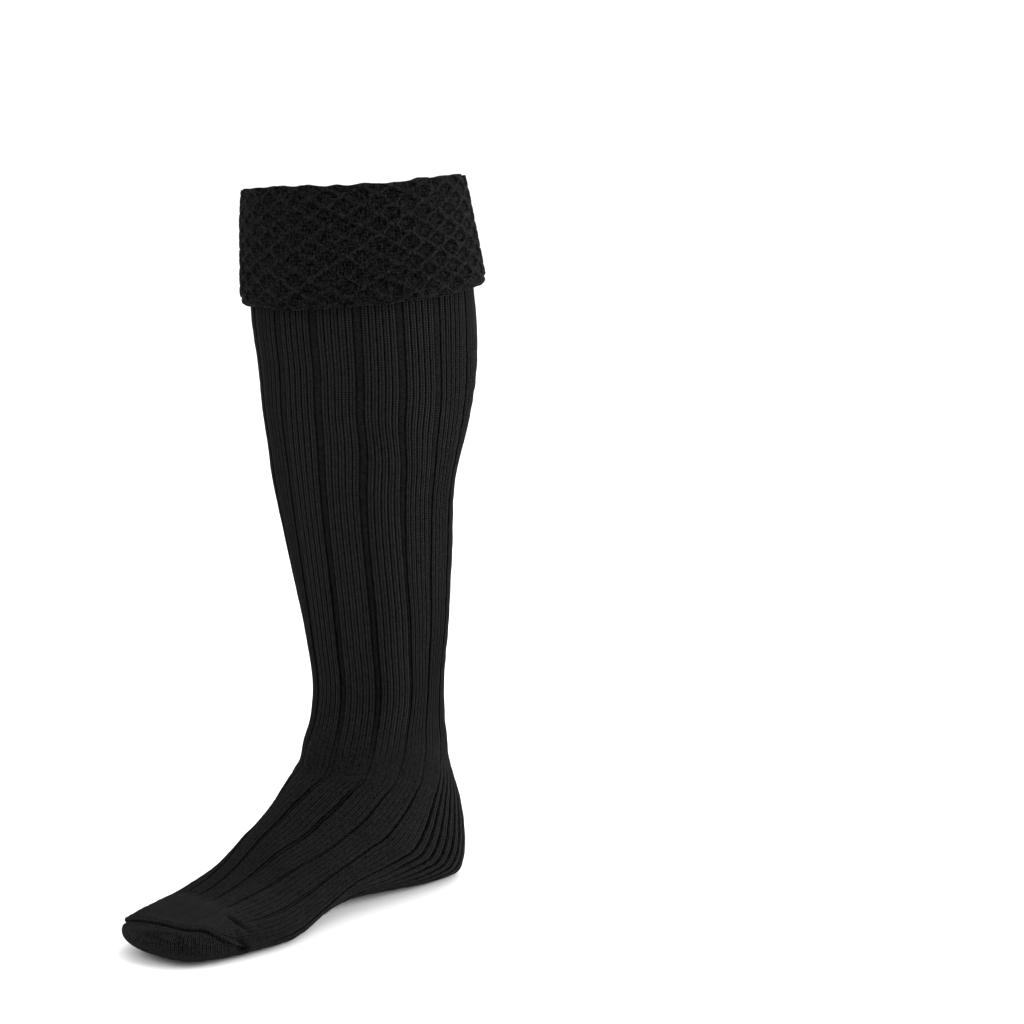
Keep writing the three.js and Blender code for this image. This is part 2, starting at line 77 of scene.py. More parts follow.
SECTION_COLUMNS = ("front", "frontUp", "back", "backUp", "middle", "inner", "outer",
                   "widest", "topPower", "innerPower", "outerPower", "roll")
LEG_SECTIONS = {
    "mouth": (0.588, 1.005, 0.313, 0.995, -0.017, 0.479, 0.493, 0.47, 2.1, 2.1, 2.1, 0.125),
    "hem": (0.594, 0.842, 0.405, 0.861, -0.017, 0.521, 0.496, 0.46, 2.1, 2.1, 2.1, 0.06),
    "calf": (0.565, 0.754, 0.427, 0.761, -0.017, 0.521, 0.479, 0.45, 2.1, 2.1, 2.1, 0.02),
    "underCalf": (0.534, 0.679, 0.389, 0.682, -0.017, 0.496, 0.463, 0.45, 2.1, 2.1, 2.1, 0),
    "hollow": (0.477, 0.585, 0.321, 0.585, -0.017, 0.438, 0.43, 0.46, 2.1, 2.1, 2.1, 0),
    "shin": (0.412, 0.48, 0.313, 0.475, -0.008, 0.397, 0.372, 0.47, 2.1, 2.1, 2.1, 0),
    "lowShin": (0.351, 0.375, 0.317, 0.368, 0, 0.347, 0.31, 0.48, 2.1, 2.1, 2.1, 0),
    "ankle": (0.317, 0.286, 0.317, 0.272, 0, 0.306, 0.281, 0.5, 2.1, 2.1, 2.1, 0),
}
FOOT_SECTIONS = {
    "crease": (0.215, 1, 0.188, 0.907, 0, 0.457, 0.42, 0.5, 2.1, 2.1, 2.1, 0),
    "heelTop": (0.254, 0.895, 0.234, 0.512, 0, 0.469, 0.42, 0.5, 2.1, 2.1, 2.1, 0),
    "heelBack": (0.297, 0.791, 0.232, 0.06, 0, 0.457, 0.42, 0.5, 2.1, 2.5, 2.4, 0),
    "heelBase": (0.34, 0.686, 0.165, -0.035, 0, 0.444, 0.42, 0.48, 2.1, 2.5, 2.8, 0),
    "arch": (0.387, 0.581, -0.07, -0.023, 0.012, 0.43, 0.444, 0.44, 2.1, 1.45, 2.8, 0),
    "midfoot": (0.457, 0.435, -0.242, -0.023, 0.037, 0.46, 0.469, 0.42, 2.1, 1.6, 2.8, 0),
    "ball": (0.547, 0.337, -0.422, -0.023, 0.074, 0.525, 0.481, 0.4, 2.1, 2.9, 2.8, 0),
    "toes": (0.625, 0.302, -0.57, -0.02, 0.086, 0.506, 0.444, 0.42, 2.2, 3, 2.6, 0),
    "toeFront": (0.69, 0.279, -0.672, 0, 0.095, 0.438, 0.37, 0.45, 2.3, 2.8, 2.1, 0),
    "toeTip": (0.738, 0.25, -0.738, 0.06, 0.1, 0.325, 0.265, 0.47, 2.3, 2.3, 2, 0),
    "toeEnd": (0.77, 0.17, -0.77, 0.145, 0.1, 0.055, 0.055, 0.5, 2, 2, 2, 0),
}

# Where some gutters lie on each ring, in sixteenths of its girth from the front by the inner side
GUTTER_COLUMNS = (0, 3, 4, 5, 11)
GUTTER_PLACES = {
    "mouth": (0, 3, 4, 5, 11),
    "hem": (0, 3, 4, 5, 11),
    "calf": (0, 3, 3.98, 4.95, 11),
    "underCalf": (-0.1, 3.1, 4.08, 5.05, 10.9),
    "hollow": (-0.2, 3.2, 4.18, 5.15, 10.8),
    "shin": (-0.35, 3.3, 4.25, 5.2, 10.7),
    "lowShin": (-0.5, 3.45, 4.38, 5.3, 10.5),
    "ankle": (-0.6, 3.55, 4.45, 5.4, 10.4),
    "crease": (-0.5, 3.34, 4.41, 5.45, 10.5),
    "heelTop": (-0.5, 2.68, 3.76, 4.75, 11.2),
    "heelBack": (-0.55, 2.16, 3.12, 4.3, 11.6),
    "heelBase": (-0.6, 2.03, 2.93, 4.08, 11.8),
    "arch": (-0.8, 2.16, 3.24, 4.3, 11.7),
    "midfoot": (-0.95, 1.92, 3.3, 4.6, 11.4),
    "ball": (-1, 1.72, 3.15, 4.6, 11.3),
    "toes": (-1.3, 1.9, 3.1, 4.3, 11.3),
    **dict.fromkeys(("toeFront", "toeTip", "toeEnd"), (-1.3, 2, 3.15, 4.3, 11.3)),
}
# The ribs at each ring: gutter width and depth in millimetres, strength of the painted shade in the gutters
# and along their edges, strength of wales
RIB_LOOKS = {
    "mouth": (4.8, 0.35, 0.4, 1.0),
    "hem": (4.8, 0.35, 0.4, 1.0),
    "calf": (4.6, 0.35, 0.4, 1.0),
    "underCalf": (4.2, 0.4, 0.5, 0.95),
    "hollow": (3.6, 0.5, 0.6, 0.85),
    "shin": (3.1, 0.6, 0.75, 0.75),
    "lowShin": (2.7, 0.65, 0.85, 0.75),
    "ankle": (2.4, 0.65, 0.8, 0.65),
    "crease": (2.2, 0.3, 0.3, 0.15),
    "heelTop": (2.6, 0.6, 0.85, 0.4),
    "heelBack": (2.8, 0.7, 0.95, 0.35),
    "heelBase": (2.8, 0.7, 0.95, 0.35),
    "arch": (2.6, 0.7, 0.95, 0.35),
    "midfoot": (2.4, 0.65, 0.9, 0.35),
    "ball": (2.2, 0.5, 0.65, 0.35),
    **dict.fromkeys(("toes", "toeFront", "toeTip", "toeEnd"), (2.2, 0.0, 0.0, 0.35)),
}
# From the hollow down, the gutters at the sides and the back have a share of the others' width
NARROW_GUTTERS = (3, 13)
NARROWING = 0.6
# How far the cuff stands off the skin: (share of the cuff's depth, share of its wall)
CUFF_STAND = ((0, 0.1), (0.3, 0.35), (0.65, 0.35), (1, 0.4))
# The turned fold's wave round the mouth: (share of the girth, rise as a share of the cuff's depth)
RIM_WAVE = ((0, -0.01), (0.1, -0.052), (0.19, -0.05), (0.25, -0.008),
            (0.31, 0.018), (0.45, 0.005), (0.6, 0), (1, -0.01))
# The toe seam's path: (rows past the ball, place in sixteenths of the girth)
SEAM_PATH = ((0.9, 4.56), (1.36, 3.64), (1.6, 2.82), (2.17, 2.24),
             (2.62, 0), (2.74, -2.2), (2.2, -3.6), (1.5, -4.4))

NAMES = list(LEG_SECTIONS) + list(FOOT_SECTIONS)
CREASE_ROW = NAMES.index("crease")
ARCH_ROW = NAMES.index("arch")
BALL_ROW = NAMES.index("ball")
RIB_END_ROW = BALL_ROW + 0.65
LAST_TOE_ROW = NAMES.index("toeTip") + 0.8
TIP_ROW = NAMES.index("toeEnd")
RING_STEPS = 720
# The heel pocket lies between these two gutters
HEEL_START = 5
HEEL_STOP = 11


def section_table():
    """Every section's row as lengths."""
    rows = []
    for table, depth, height, width in ((LEG_SECTIONS, CALF_DEPTH, SOCK_HEIGHT, CALF_WIDTH),
                                        (FOOT_SECTIONS, FOOT_LENGTH, CREASE_HEIGHT, FOOT_WIDTH)):
        scale = np.array([-depth, height, depth, height, width, width, width, 1, 1, 1, 1, 1])
        rows += [np.array(shares) * scale for shares in table.values()]
    return np.array(rows)


SECTIONS = section_table()
PLACES = np.array([GUTTER_PLACES[name] for name in NAMES], float)
LOOKS = np.array([RIB_LOOKS[name] for name in NAMES], float)
MOUTH = dict(zip(SECTION_COLUMNS, SECTIONS[0]))
ORIGIN = np.array([MOUTH["middle"], (MOUTH["front"] + MOUTH["back"]) / 2,
                   (MOUTH["frontUp"] + MOUTH["backUp"]) / 2])


def along_rows(table, row):
    """Smooth curves through the rows of a table, at rows between them."""
    last = len(table) - 1
    at = np.clip(np.asarray(row, float), 0, last)
    base = np.minimum(np.floor(at).astype(int), last - 1)
    before, start, stop, after = (table[np.clip(base + step, 0, last)] for step in (-1, 0, 1, 2))
    u = (at - base)[..., None]
    bend = 2 * before - 5 * start + 4 * stop - after
    twist = 3 * (start - stop) + after - before
    return start + 0.5 * u * (stop - before + u * (bend + u * twist))


def lengths(points, axis=0):
    """The length walked to each point of a line, or along one axis of a grid."""
    steps = np.linalg.norm(np.diff(points, axis=axis), axis=-1)
    return np.cumsum(np.insert(steps, 0, 0, axis=axis), axis=axis)


def rings(row):
    """The ring of points at each row, with the length walked round it."""
    values = dict(zip(SECTION_COLUMNS, along_rows(SECTIONS, row).T[:, :, None]))
    angle = math.pi / 2 - np.linspace(0, 2 * math.pi, RING_STEPS + 1)[None, :]
    side, rise = np.cos(angle), np.sin(angle)
    low_power = np.where(side > 0, values["innerPower"], values["outerPower"])
    power = np.where(rise > 0, values["topPower"], low_power)
    reach = np.where(side > 0, values["inner"], values["outer"])
    across = reach * np.sign(side) * np.abs(side) ** (2 / power)
    room = np.where(rise > 0, 1 - values["widest"], values["widest"])
    share = values["widest"] + room * np.sign(rise) * np.abs(rise) ** (2 / power)
    forward = values["back"] + (values["front"] - values["back"]) * share
    up = values["backUp"] + (values["frontUp"] - values["backUp"]) * share + values["roll"] * across
    points = np.stack([values["middle"] + across, forward, up], -1)
    return points, lengths(points, 1)


def skin(rows, around):
    """Points of the skin for a grid: rows (n), shares of the girth (n, m)."""
    points, walked = rings(rows)
    out = np.empty(around.shape + (3,))
    for i in range(len(rows)):
        target = np.mod(around[i], 1) * walked[i, -1]
        for k in range(3):
            out[i, :, k] = np.interp(target, walked[i], points[i, :, k])
    return out


def girths(rows):
    return rings(rows)[1][:, -1]


ROW_NUDGE = 0.02
AROUND_NUDGE = 0.004


def unit(vectors):
    return vectors / np.linalg.norm(vectors, axis=-1, keepdims=True)


def outward(rows, around):
    """Which way the skin faces at each point of a grid."""
    down = skin(rows + ROW_NUDGE, around) - skin(rows - ROW_NUDGE, around)
    turn = skin(rows, around + AROUND_NUDGE) - skin(rows, around - AROUND_NUDGE)
    return unit(np.cross(down, turn))


def off_skin(rows, around, out, floor=0.0):
    """Points off the skin, never lower than the floor that the sock stands on."""
    points = skin(rows, around) + outward(rows, around) * np.asarray(out)[..., None]
    points[..., 2] = np.maximum(points[..., 2], floor)
    return points


def gutter_around(rows, gutter):
    """The share of the girth where a gutter, or a place between two, lies: rows (n), gutter (n, m)."""
    places = along_rows(PLACES, rows)
    places = np.concatenate([places, places[:, :1] + PANELS], axis=1)
    known = np.array(GUTTER_COLUMNS + (PANELS,), float)
    out = np.empty(gutter.shape)
    for i in range(len(rows)):
        turns = np.floor(gutter[i] / PANELS)
        out[i] = np.interp(gutter[i] - turns * PANELS, known, places[i]) + turns * PANELS
    return out / PANELS


SEARCH_STEPS = 2001


def row_below_mouth(drop):
    """The row at which the leg's ring lies a given length below the mouth."""
    rows = np.linspace(0, CREASE_ROW, SEARCH_STEPS)
    values = dict(zip(SECTION_COLUMNS, along_rows(SECTIONS, rows).T))
    fall = SECTIONS[0][1] - (values["frontUp"] + values["backUp"]) / 2
    return np.interp(drop, fall, rows)


def waves(seed, count, low, high):
    """A smooth random field of two coordinates, made of a few sine waves."""
    rng = np.random.default_rng(seed)
    turn = rng.uniform(0, 2 * math.pi, count)
    length = rng.uniform(low, high, count)
    phase = rng.uniform(0, 2 * math.pi, count)
    size = length / high

    def field(x, y):
        total = np.zeros(np.broadcast(x, y).shape)
        for t, l, p, s in zip(turn, length, phase, size):
            total += s * np.sin(2 * math.pi * (x * math.cos(t) + y * math.sin(t)) / l + p)
        return total / math.sqrt((size ** 2).sum() / 2)
    return field


soft_dents = waves(seed=3, count=14, low=28, high=90)
fine_dents = waves(seed=8, count=16, low=7, high=18)
sideways = waves(seed=5, count=10, low=30, high=80)

# For the fields of waves, two section rows count as this many millimetres apart.
ROW_LENGTH = 40.0
SOFT_DENT = 0.22
FINE_DENT = 0.07
STRAY = 0.28
STRAY_BELOW_CALF = 0.55
STRAY_ROW = 3.4
STRAY_REACH = 0.9
# Folds and swells at the ankle crease: (rows past it, height in millimetres, reach in rows)
CREASE_FOLDS = ((0, 1.0, 0.22), (-0.62, 0.5, 0.2))
CREASE_SWELLS = ((-0.36, 0.45, 0.2), (0.42, 0.35, 0.2))
CREASE_DEPTH = 0.9
CREASE_AT_BACK = 0.35
CREASE_FRONT_GUTTERS = 6
# The short crease above the toe seam's inner end, and the pinch at that end:
# (depth in millimetres, rows past the ball, reach in rows, place in gutters, reach in gutters)
TOE_FOLDS = ((1.3, 0.65, 0.06, 2.9, 0.55), (2.6, 1.02, 0.12, 4.4, 0.36))
# Folds this deep, in millimetres, get the fullest painted shade.
DARKEST_FOLD = 1.6


def bump_at(value, middle, width):
    return np.exp(-((value - middle) / width) ** 2)


def from_front(gutter):
    """Gutters counted both ways from the front, half of them with a minus."""
    return np.mod(gutter + PANELS / 2, PANELS) - PANELS / 2


def closing(around):
    """A factor that takes a field of waves to nothing where a ring starts and ends."""
    return np.sin(math.pi * np.mod(around, 1)) ** 0.5


def wander(rows, around, girth):
    """How far the wales stray sideways, in millimetres: most of all just below the calf."""
    down = rows[:, None] * ROW_LENGTH
    across = around * girth[:, None]
    amount = STRAY + STRAY_BELOW_CALF * bump_at(rows[:, None], STRAY_ROW, STRAY_REACH)
    return -sideways(across, down) * amount * closing(around)


def lie(rows, around, girth):
    """Soft unevenness of the knit over its whole surface, outward, in millimetres."""
    down = rows[:, None] * ROW_LENGTH
    across = around * girth[:, None]
    return (SOFT_DENT * soft_dents(across, down) + FINE_DENT * fine_dents(across, down)) * closing(around)


def swells(row, table):
    """The height that the ankle's swells or folds add up to at some rows."""
    return sum(height * bump_at(row, CREASE_ROW + past, reach) for past, height, reach in table)


def crease_dent(rows, gutter):
    """The soft fold where the leg's knit turns into the foot's, deepest at the front."""
    from_middle = np.clip(np.abs(from_front(gutter)) / CREASE_FRONT_GUTTERS, 0, 1)
    front = np.cos(from_middle * math.pi / 2)
    rise = swells(rows[:, None], CREASE_SWELLS) - swells(rows[:, None], CREASE_FOLDS)
    return rise * (CREASE_AT_BACK + (1 - CREASE_AT_BACK) * front) * CREASE_DEPTH


def toe_folds(rows, around):
    """The folds in the knit at the toe seam's inner end, outward, in millimetres."""
    past = rows[:, None] - BALL_ROW
    place = from_front(around * PANELS)
    out = 0
    for depth, row, row_reach, gutter, gutter_reach in TOE_FOLDS:
        out = out - depth * bump_at(past, row, row_reach) * bump_at(place, gutter, gutter_reach)
    return out


def fold_shade(rows, around):
    """How much painted shade the folds at the toe get, 0 to 1."""
    return np.clip(-toe_folds(rows, around) / DARKEST_FOLD, 0, 1)


# Points across one wale, as shares of its width, and their heights: the foot takes fewer
WALE_PLACES = (0.0, 0.13, 0.27, 0.5, 0.73, 0.87)
WALE_HEIGHTS = (-0.7, -0.05, 0.22, -0.2, 0.22, -0.05)
EVERY_POINT = (0, 1, 2, 3, 4, 5)
FEWER_POINTS = (0, 2, 3, 4)
RIB_CROWN = 0.28
# Points across one gutter, as shares of its width, and their heights
GUTTER_STEPS = (0.0, 0.08, 0.2, 0.4, 0.6, 0.8, 0.92)
GUTTER_HEIGHTS = (-0.8, -1.25, -1.0, -0.8, -0.8, -1.0, -1.25)
RIB_STOP = RIB_WALES + 1
WIDEST_HALF_GUTTER = 0.2


def panel_layout(picked):
    """One panel's columns: (wale coordinate, relief). The rib lies from 1 to 6, between two half gutters."""
    columns = []
    half = len(GUTTER_STEPS) // 2
    middle = RIB_WALES / 2
    for step, height in zip(GUTTER_STEPS[half:], GUTTER_HEIGHTS[half:]):
        columns.append(((step - 0.5) * 2, height))
    for wale in range(RIB_WALES):
        for index in picked:
            crown = RIB_CROWN * (1 - ((wale + WALE_PLACES[index] - middle) / middle) ** 2)
            columns.append((1 + wale + WALE_PLACES[index], WALE_HEIGHTS[index] + crown))
    for step, height in zip(GUTTER_STEPS[:half], GUTTER_HEIGHTS[:half]):
        columns.append((RIB_STOP + step * 2, height))
    columns.sort()
    return np.array(columns)


def gutter_places(rows, girth, wales):
    """Where wale coordinates, given for one panel, lie in every panel, in gutters: (rows, panels, wales)."""
    which = np.arange(PANELS + 1)
    lower = np.clip(rows - NAMES.index("hollow"), 0, 1)[:, None]
    first, last = NARROW_GUTTERS
    rear = np.clip(np.minimum(which - first + 1, last + 1 - which), 0, 1)[None, :]
    width = along_rows(LOOKS, rows)[:, :1] * (1 - (1 - NARROWING) * lower * rear)
    half = np.minimum(width / 2 / (girth[:, None] / PANELS), WIDEST_HALF_GUTTER)
    left, right = half[:, :-1, None], half[:, 1:, None]
    wale = wales[None, None, :]
    in_rib = left + (1 - left - right) * (wale - 1) / RIB_WALES
    past_rib = 1 - right * (WALES_PER_PANEL - wale)
    share = np.where(wale < 1, left * wale, np.where(wale > RIB_STOP, past_rib, in_rib))
    return np.arange(PANELS)[None, :, None] + share


def write_mesh(name, points, faces, uvs, **marks):
    """A mesh from points in millimetres, with UVs in wales and courses. Each mark is a number a point."""
    mesh = bpy.data.meshes.new(name)
    flat = ((points.reshape(-1, 3) - ORIGIN) * MM)
    mesh.from_pydata(flat.tolist(), [], [list(face) for face in faces])
    mesh.update()
    layer = mesh.uv_layers.new(name="knit")
    layer.data.foreach_set("uv", uvs.astype(np.float32).ravel())
    mesh.polygons.foreach_set("use_smooth", [True] * len(mesh.polygons))
    for mark, values in marks.items():
        attribute = mesh.attributes.new(mark, "FLOAT", "POINT")
        attribute.data.foreach_set("value", values.astype(np.float32).ravel())
    piece = bpy.data.objects.new(name, mesh)
    bpy.context.scene.collection.objects.link(piece)
    return piece


def grid_cells(rows, columns, wraps):
    """The row, the column and the next column of every cell of a grid. wraps closes it into a ring."""
    i, j = np.meshgrid(np.arange(rows - 1), np.arange(columns if wraps else columns - 1), indexing="ij")
    i, j = i.ravel(), j.ravel()
    return i, j, (j + 1) % columns


def grid_quads(rows, columns, wraps):
    """Quads of a grid, facing out of the skin."""
    i, j, following = grid_cells(rows, columns, wraps)
    return np.stack([i * columns + j, (i + 1) * columns + j, (i + 1) * columns + following,
                     i * columns + following], -1)


def corner_uvs(u, v, wraps, wrap_u=0):
    """UVs for the four corners of each quad of a grid. wrap_u is u's whole turn."""
    i, j, following = grid_cells(*u.shape, wraps)
    turn = np.where(following < j, wrap_u, 0)
    corners = []
    for a, b, add in ((i, j, 0), (i + 1, j, 0), (i + 1, following, turn), (i, following, turn)):
        corners.append(np.stack([u[a, b] + add, v[a, b]], -1))
    return np.stack(corners, 1)


def inner_face(rows, columns, u, v, wrap_u=0, holds=None):
    """Quads that face inward between some of a grid's rows and columns, and their UVs."""
    across = u.shape[1]
    quads, uvs = [], []
    for a, b in zip(rows[:-1], rows[1:]):
        for c, d in zip(columns[:-1], columns[1:]):
            if holds and not holds(a, c):
                continue
            turn = wrap_u if d == across else 0
            d = d % across
            quads.append([a * across + c, a * across + d, b * across + d, b * across + c])
            uvs.append([(u[a, c], v[a, c]), (u[a, d] + turn, v[a, d]),
                        (u[b, d] + turn, v[b, d]), (u[b, c], v[b, c])])
    return np.array(quads), np.array(uvs)


NO_FAN = (np.empty((0, 3), int), np.empty((0, 3, 2)))


def two_faced_mesh(name, rows, around, out, outer, inner, fan=NO_FAN, **marks):
    """A mesh of the wall's two faces. outer, inner and the fan to the tip are faces with their UVs."""
    outside = off_skin(rows, around, out)
    inside = off_skin(rows, around, np.full(out.shape, -WALL), WALL)
    cells = out.size
    points = np.concatenate([outside.reshape(-1, 3), inside.reshape(-1, 3), outside[-1].mean(axis=0)[None]])
    quads = np.concatenate([outer[0], inner[0] + cells])
    used, packed = np.unique(np.concatenate([quads.ravel(), fan[0].ravel()]), return_inverse=True)
    faces = packed[:quads.size].reshape(-1, 4).tolist() + packed[quads.size:].reshape(-1, 3).tolist()
    uvs = np.concatenate([some.reshape(-1, 2) for some in (outer[1], inner[1], fan[1])])
    for mark, grid in marks.items():
        grid = np.broadcast_to(grid, out.shape).ravel()
        marks[mark] = np.concatenate([grid, grid, [0.0]])[used]
    return write_mesh(name, points[used], faces, uvs, **marks)


def courses_down(rows, around, zero_row):
    """The courses knitted down each column of the skin, counted from one row."""
    walked = lengths(skin(rows, around))
    return (walked - walked[np.argmin(np.abs(rows - zero_row))]) / COURSE


def place_around(rows, gutter, girth):
    """The shares of the girth where gutters and places between them lie, with the wales' straying."""
    around = gutter_around(rows, gutter)
    return around + wander(rows, around, girth) / girth[:, None]


# The ribs fade out over these rows before their end, and the inner face takes every few rows and columns.
RIB_FADE = 0.5
INNER_ROW_STEP = 12
INNER_RIB_STEP = 3
INNER_HEEL_STEP = 6
GUTTER_MARGIN = 0.001


def ribbed_piece(name, rows, picked, holds):
    """A tube of ribs through the given rows, with an inner face. holds says which quads are there."""
    layout = panel_layout(picked)
    per_panel = len(layout)
    columns = PANELS * per_panel
    girth = girths(rows)
    gutter = gutter_places(rows, girth, layout[:, 0]).reshape(len(rows), -1)
    around = place_around(rows, gutter, girth)
    relief = np.tile(layout[:, 1], PANELS)[None, :]
    wale = (np.arange(PANELS)[:, None] * WALES_PER_PANEL + layout[:, 0][None, :]).ravel()
    in_panel = np.mod(wale, WALES_PER_PANEL)
    in_gutter = (in_panel < 1 - GUTTER_MARGIN) | (in_panel > RIB_STOP + GUTTER_MARGIN)
    looks = along_rows(LOOKS, rows)
    depth, lines, wales = looks[:, 1:2], looks[:, 2:3], looks[:, 3:4]
    ending = np.clip((RIB_END_ROW - rows) / RIB_FADE, 0, 1)[:, None]
    fine = np.where(in_gutter[None, :], depth, wales) * ending
    out = relief * fine + lie(rows, around, girth) + crease_dent(rows, gutter) + toe_folds(rows, around)
    v = courses_down(rows, around, CREASE_ROW)
    u = np.broadcast_to(wale[None, :], v.shape)
    i, j, _ = grid_cells(len(rows), columns, True)
    keep = holds(i, j // per_panel)
    outer = grid_quads(len(rows), columns, True)[keep], corner_uvs(u, v, True, TURN_WALES)[keep]
    inner_rows = np.unique([*range(0, len(rows), INNER_ROW_STEP), len(rows) - 1])
    panel_starts = np.arange(PANELS)[:, None] * per_panel
    inner_columns = [*(panel_starts + np.arange(0, per_panel, INNER_RIB_STEP)).ravel(), columns]
    inner = inner_face(inner_rows, inner_columns, u, v, TURN_WALES, lambda a, c: holds(a, c // per_panel))
    return two_faced_mesh(name, rows, around, out, outer, inner,
                          lines=lines * ending, wales=wales, folds=fold_shade(rows, around))


# Leg: coarse rows under the cuff, fine ones below it
COVERED = CUFF_DEPTH - 8
COVERED_ROWS = 7
BARE_ROWS = 146
leg_hem = row_below_mouth(COVERED)
leg_rows = np.concatenate([np.linspace(row_below_mouth(CUFF_RETURN), leg_hem, COVERED_ROWS)[:-1],
                           np.linspace(leg_hem, CREASE_ROW, BARE_ROWS)])
leg = ribbed_piece("leg_knit", leg_rows, EVERY_POINT, lambda i, panel: np.ones(np.shape(i), bool))

# Foot: the tube has a notch at the back for the heel pocket
NOTCH_ROW = 108
FRONT_ROWS = 92
foot_rows = np.concatenate([np.linspace(CREASE_ROW, ARCH_ROW, NOTCH_ROW + 1),
                            np.linspace(ARCH_ROW, RIB_END_ROW, FRONT_ROWS)[1:]])


def in_foot(i, panel):
    return (i >= NOTCH_ROW) | (panel < HEEL_START) | (panel >= HEEL_STOP)


foot = ribbed_piece("foot_knit", foot_rows, FEWER_POINTS, in_foot)

# Heel: groove sizes in millimetres, with the rows over which the grooves fade in and out
HEEL_ROWS = 217
POINTS_PER_HEEL_RIB = 12
HEEL_CROWN = 0.3
HEEL_GROOVE = 1.2
HEEL_GROOVE_SHARE = 0.5
HEEL_GROOVE_POWER = 1.4
HEEL_FADE_IN = 0.6
HEEL_FADE_OUT = 1.1


def heel_piece(name):
    """The heel pocket: close ribs that follow the rings' columns from the ankle crease round to the arch."""
    rows = np.linspace(CREASE_ROW, ARCH_ROW, HEEL_ROWS)
    columns = HEEL_RIBS * POINTS_PER_HEEL_RIB + 1
    place = np.linspace(0, HEEL_RIBS, columns)
    gutter = np.broadcast_to(HEEL_START + (HEEL_STOP - HEEL_START) * place / HEEL_RIBS, (len(rows), columns))
    girth = girths(rows)
    around = place_around(rows, gutter, girth)
    across = np.abs(np.mod(place + 0.5, 1) - 0.5) * 2
    groove = (1 - np.clip(across / HEEL_GROOVE_SHARE, 0, 1)) ** HEEL_GROOVE_POWER
    start = np.clip((rows - CREASE_ROW) / HEEL_FADE_IN, 0.2, 1)[:, None]
    stop = np.clip((ARCH_ROW - rows) / HEEL_FADE_OUT, 0.35, 1)[:, None]
    profile = HEEL_CROWN - HEEL_GROOVE * groove
    out = profile[None, :] * start * stop + lie(rows, around, girth) + crease_dent(rows, gutter)
    v = courses_down(rows, around, CREASE_ROW)
    u = np.broadcast_to(place[None, :], v.shape)
    outer = grid_quads(len(rows), columns, False), corner_uvs(u, v, False)
    inner = inner_face(range(0, len(rows), INNER_ROW_STEP), range(0, columns, INNER_HEEL_STEP), u, v)
    return two_faced_mesh(name, rows, around, out, outer, inner, lines=start * stop)


heel = heel_piece("heel_knit")

# The toe seam's line over the skin, with the ways along it, out of the skin and up across it
SEAM_STATIONS = 420
SEAM_UPWARD = np.array([0.0, 0.35, 1.0])
seam_rows = np.array([BALL_ROW + past for past, _ in SEAM_PATH])
seam_around = np.array([place / PANELS for _, place in SEAM_PATH])
seam_steps = np.linspace(0, len(SEAM_PATH) - 1, SEAM_STATIONS)
seam_line = along_rows(np.stack([seam_rows, seam_around], -1), seam_steps)
seam_points = off_skin(seam_line[:, 0], seam_line[:, 1:], np.zeros((SEAM_STATIONS, 1)))[:, 0]
seam_out = outward(seam_line[:, 0], seam_line[:, 1:])[:, 0]
seam_along = unit(np.gradient(seam_points, axis=0))
seam_side = unit(np.cross(seam_out, seam_along))
seam_side *= np.sign(seam_side @ SEAM_UPWARD)[:, None]
seam_walked = lengths(seam_points)
# Distances from the seam are found a block of points at a time, to every third station.
POINT_BLOCK = 4000
STATION_STEP = 3


def seam_offsets(points):
    """Each point's distance from the seam, above it if positive, and its share of the seam's length."""
    flat = points.reshape(-1, 3)
    offset = np.empty(len(flat))
    place = np.empty(len(flat))
    for start in range(0, len(flat), POINT_BLOCK):
        block = flat[start:start + POINT_BLOCK]
        gap = block[:, None, :] - seam_points[None, ::STATION_STEP, :]
        nearest = np.argmin((gap ** 2).sum(-1), axis=1) * STATION_STEP
        away = block - seam_points[nearest]
        above = np.sign((away * seam_side[nearest]).sum(-1))
        offset[start:start + POINT_BLOCK] = above * np.linalg.norm(away, axis=1)
        place[start:start + POINT_BLOCK] = seam_walked[nearest] / seam_walked[-1]
    return offset.reshape(points.shape[:-1]), place.reshape(points.shape[:-1])


def wales_at(rows, around):
    """The wale coordinates of places round the rings, so that the toe's wales carry on the foot's."""
    known = np.arange(0, WALES_PER_PANEL, 0.25)
    gutter = gutter_places(rows, girths(rows), known).reshape(len(rows), -1)
    wale = (np.arange(PANELS)[:, None] * WALES_PER_PANEL + known[None, :]).ravel()
    wale = np.concatenate([wale - TURN_WALES, wale, wale + TURN_WALES])
    places = gutter_around(rows, gutter)
    out = np.empty(around.shape)
    for i, place in enumerate(places):
        out[i] = np.interp(around[i], np.concatenate([place - 1, place, place + 1]), wale)
    return out


# The pouch's wales and the centre that they spread from, in millimetres and as a share of the foot's width
POUCH_WALE = 2.3
POUCH_BACK = 12
POUCH_SIDE = 0.09


def pouch_coordinates(points, rear):
    """Wales and courses of the toe's pouch, which spread from a centre in front of the toe piece's rear."""
    plan = points[..., :2]
    centre = np.array([FOOT_WIDTH * POUCH_SIDE, rear - POUCH_BACK])
    angle = np.arctan2(plan[..., 0] - centre[0], -(plan[..., 1] - centre[1]))
    each = np.arange(len(plan))
    inner_rim = plan[each, np.argmax(plan[..., 0], axis=1)]
    outer_rim = plan[each, np.argmin(plan[..., 0], axis=1)]
    rim = np.concatenate([inner_rim, outer_rim[::-1]])
    rim_angle = np.arctan2(rim[:, 0] - centre[0], -(rim[:, 1] - centre[1]))
    order = np.argsort(rim_angle)
    radial = np.linalg.norm(plan - centre, axis=-1)
    round_rim = np.interp(angle, rim_angle[order], lengths(rim[order]))
    return round_rim / POUCH_WALE, (radial + points[..., 2]) / COURSE


# Toe: how the upper layer laps over the pouch along the seam, in millimetres
TOE_ROWS = 150
TOE_COLUMNS = 300
SEAM_FADE = 0.05
LAP_HEIGHT = 0.75
LAP_REACH = 4.5
DIP_EDGE = 1.5
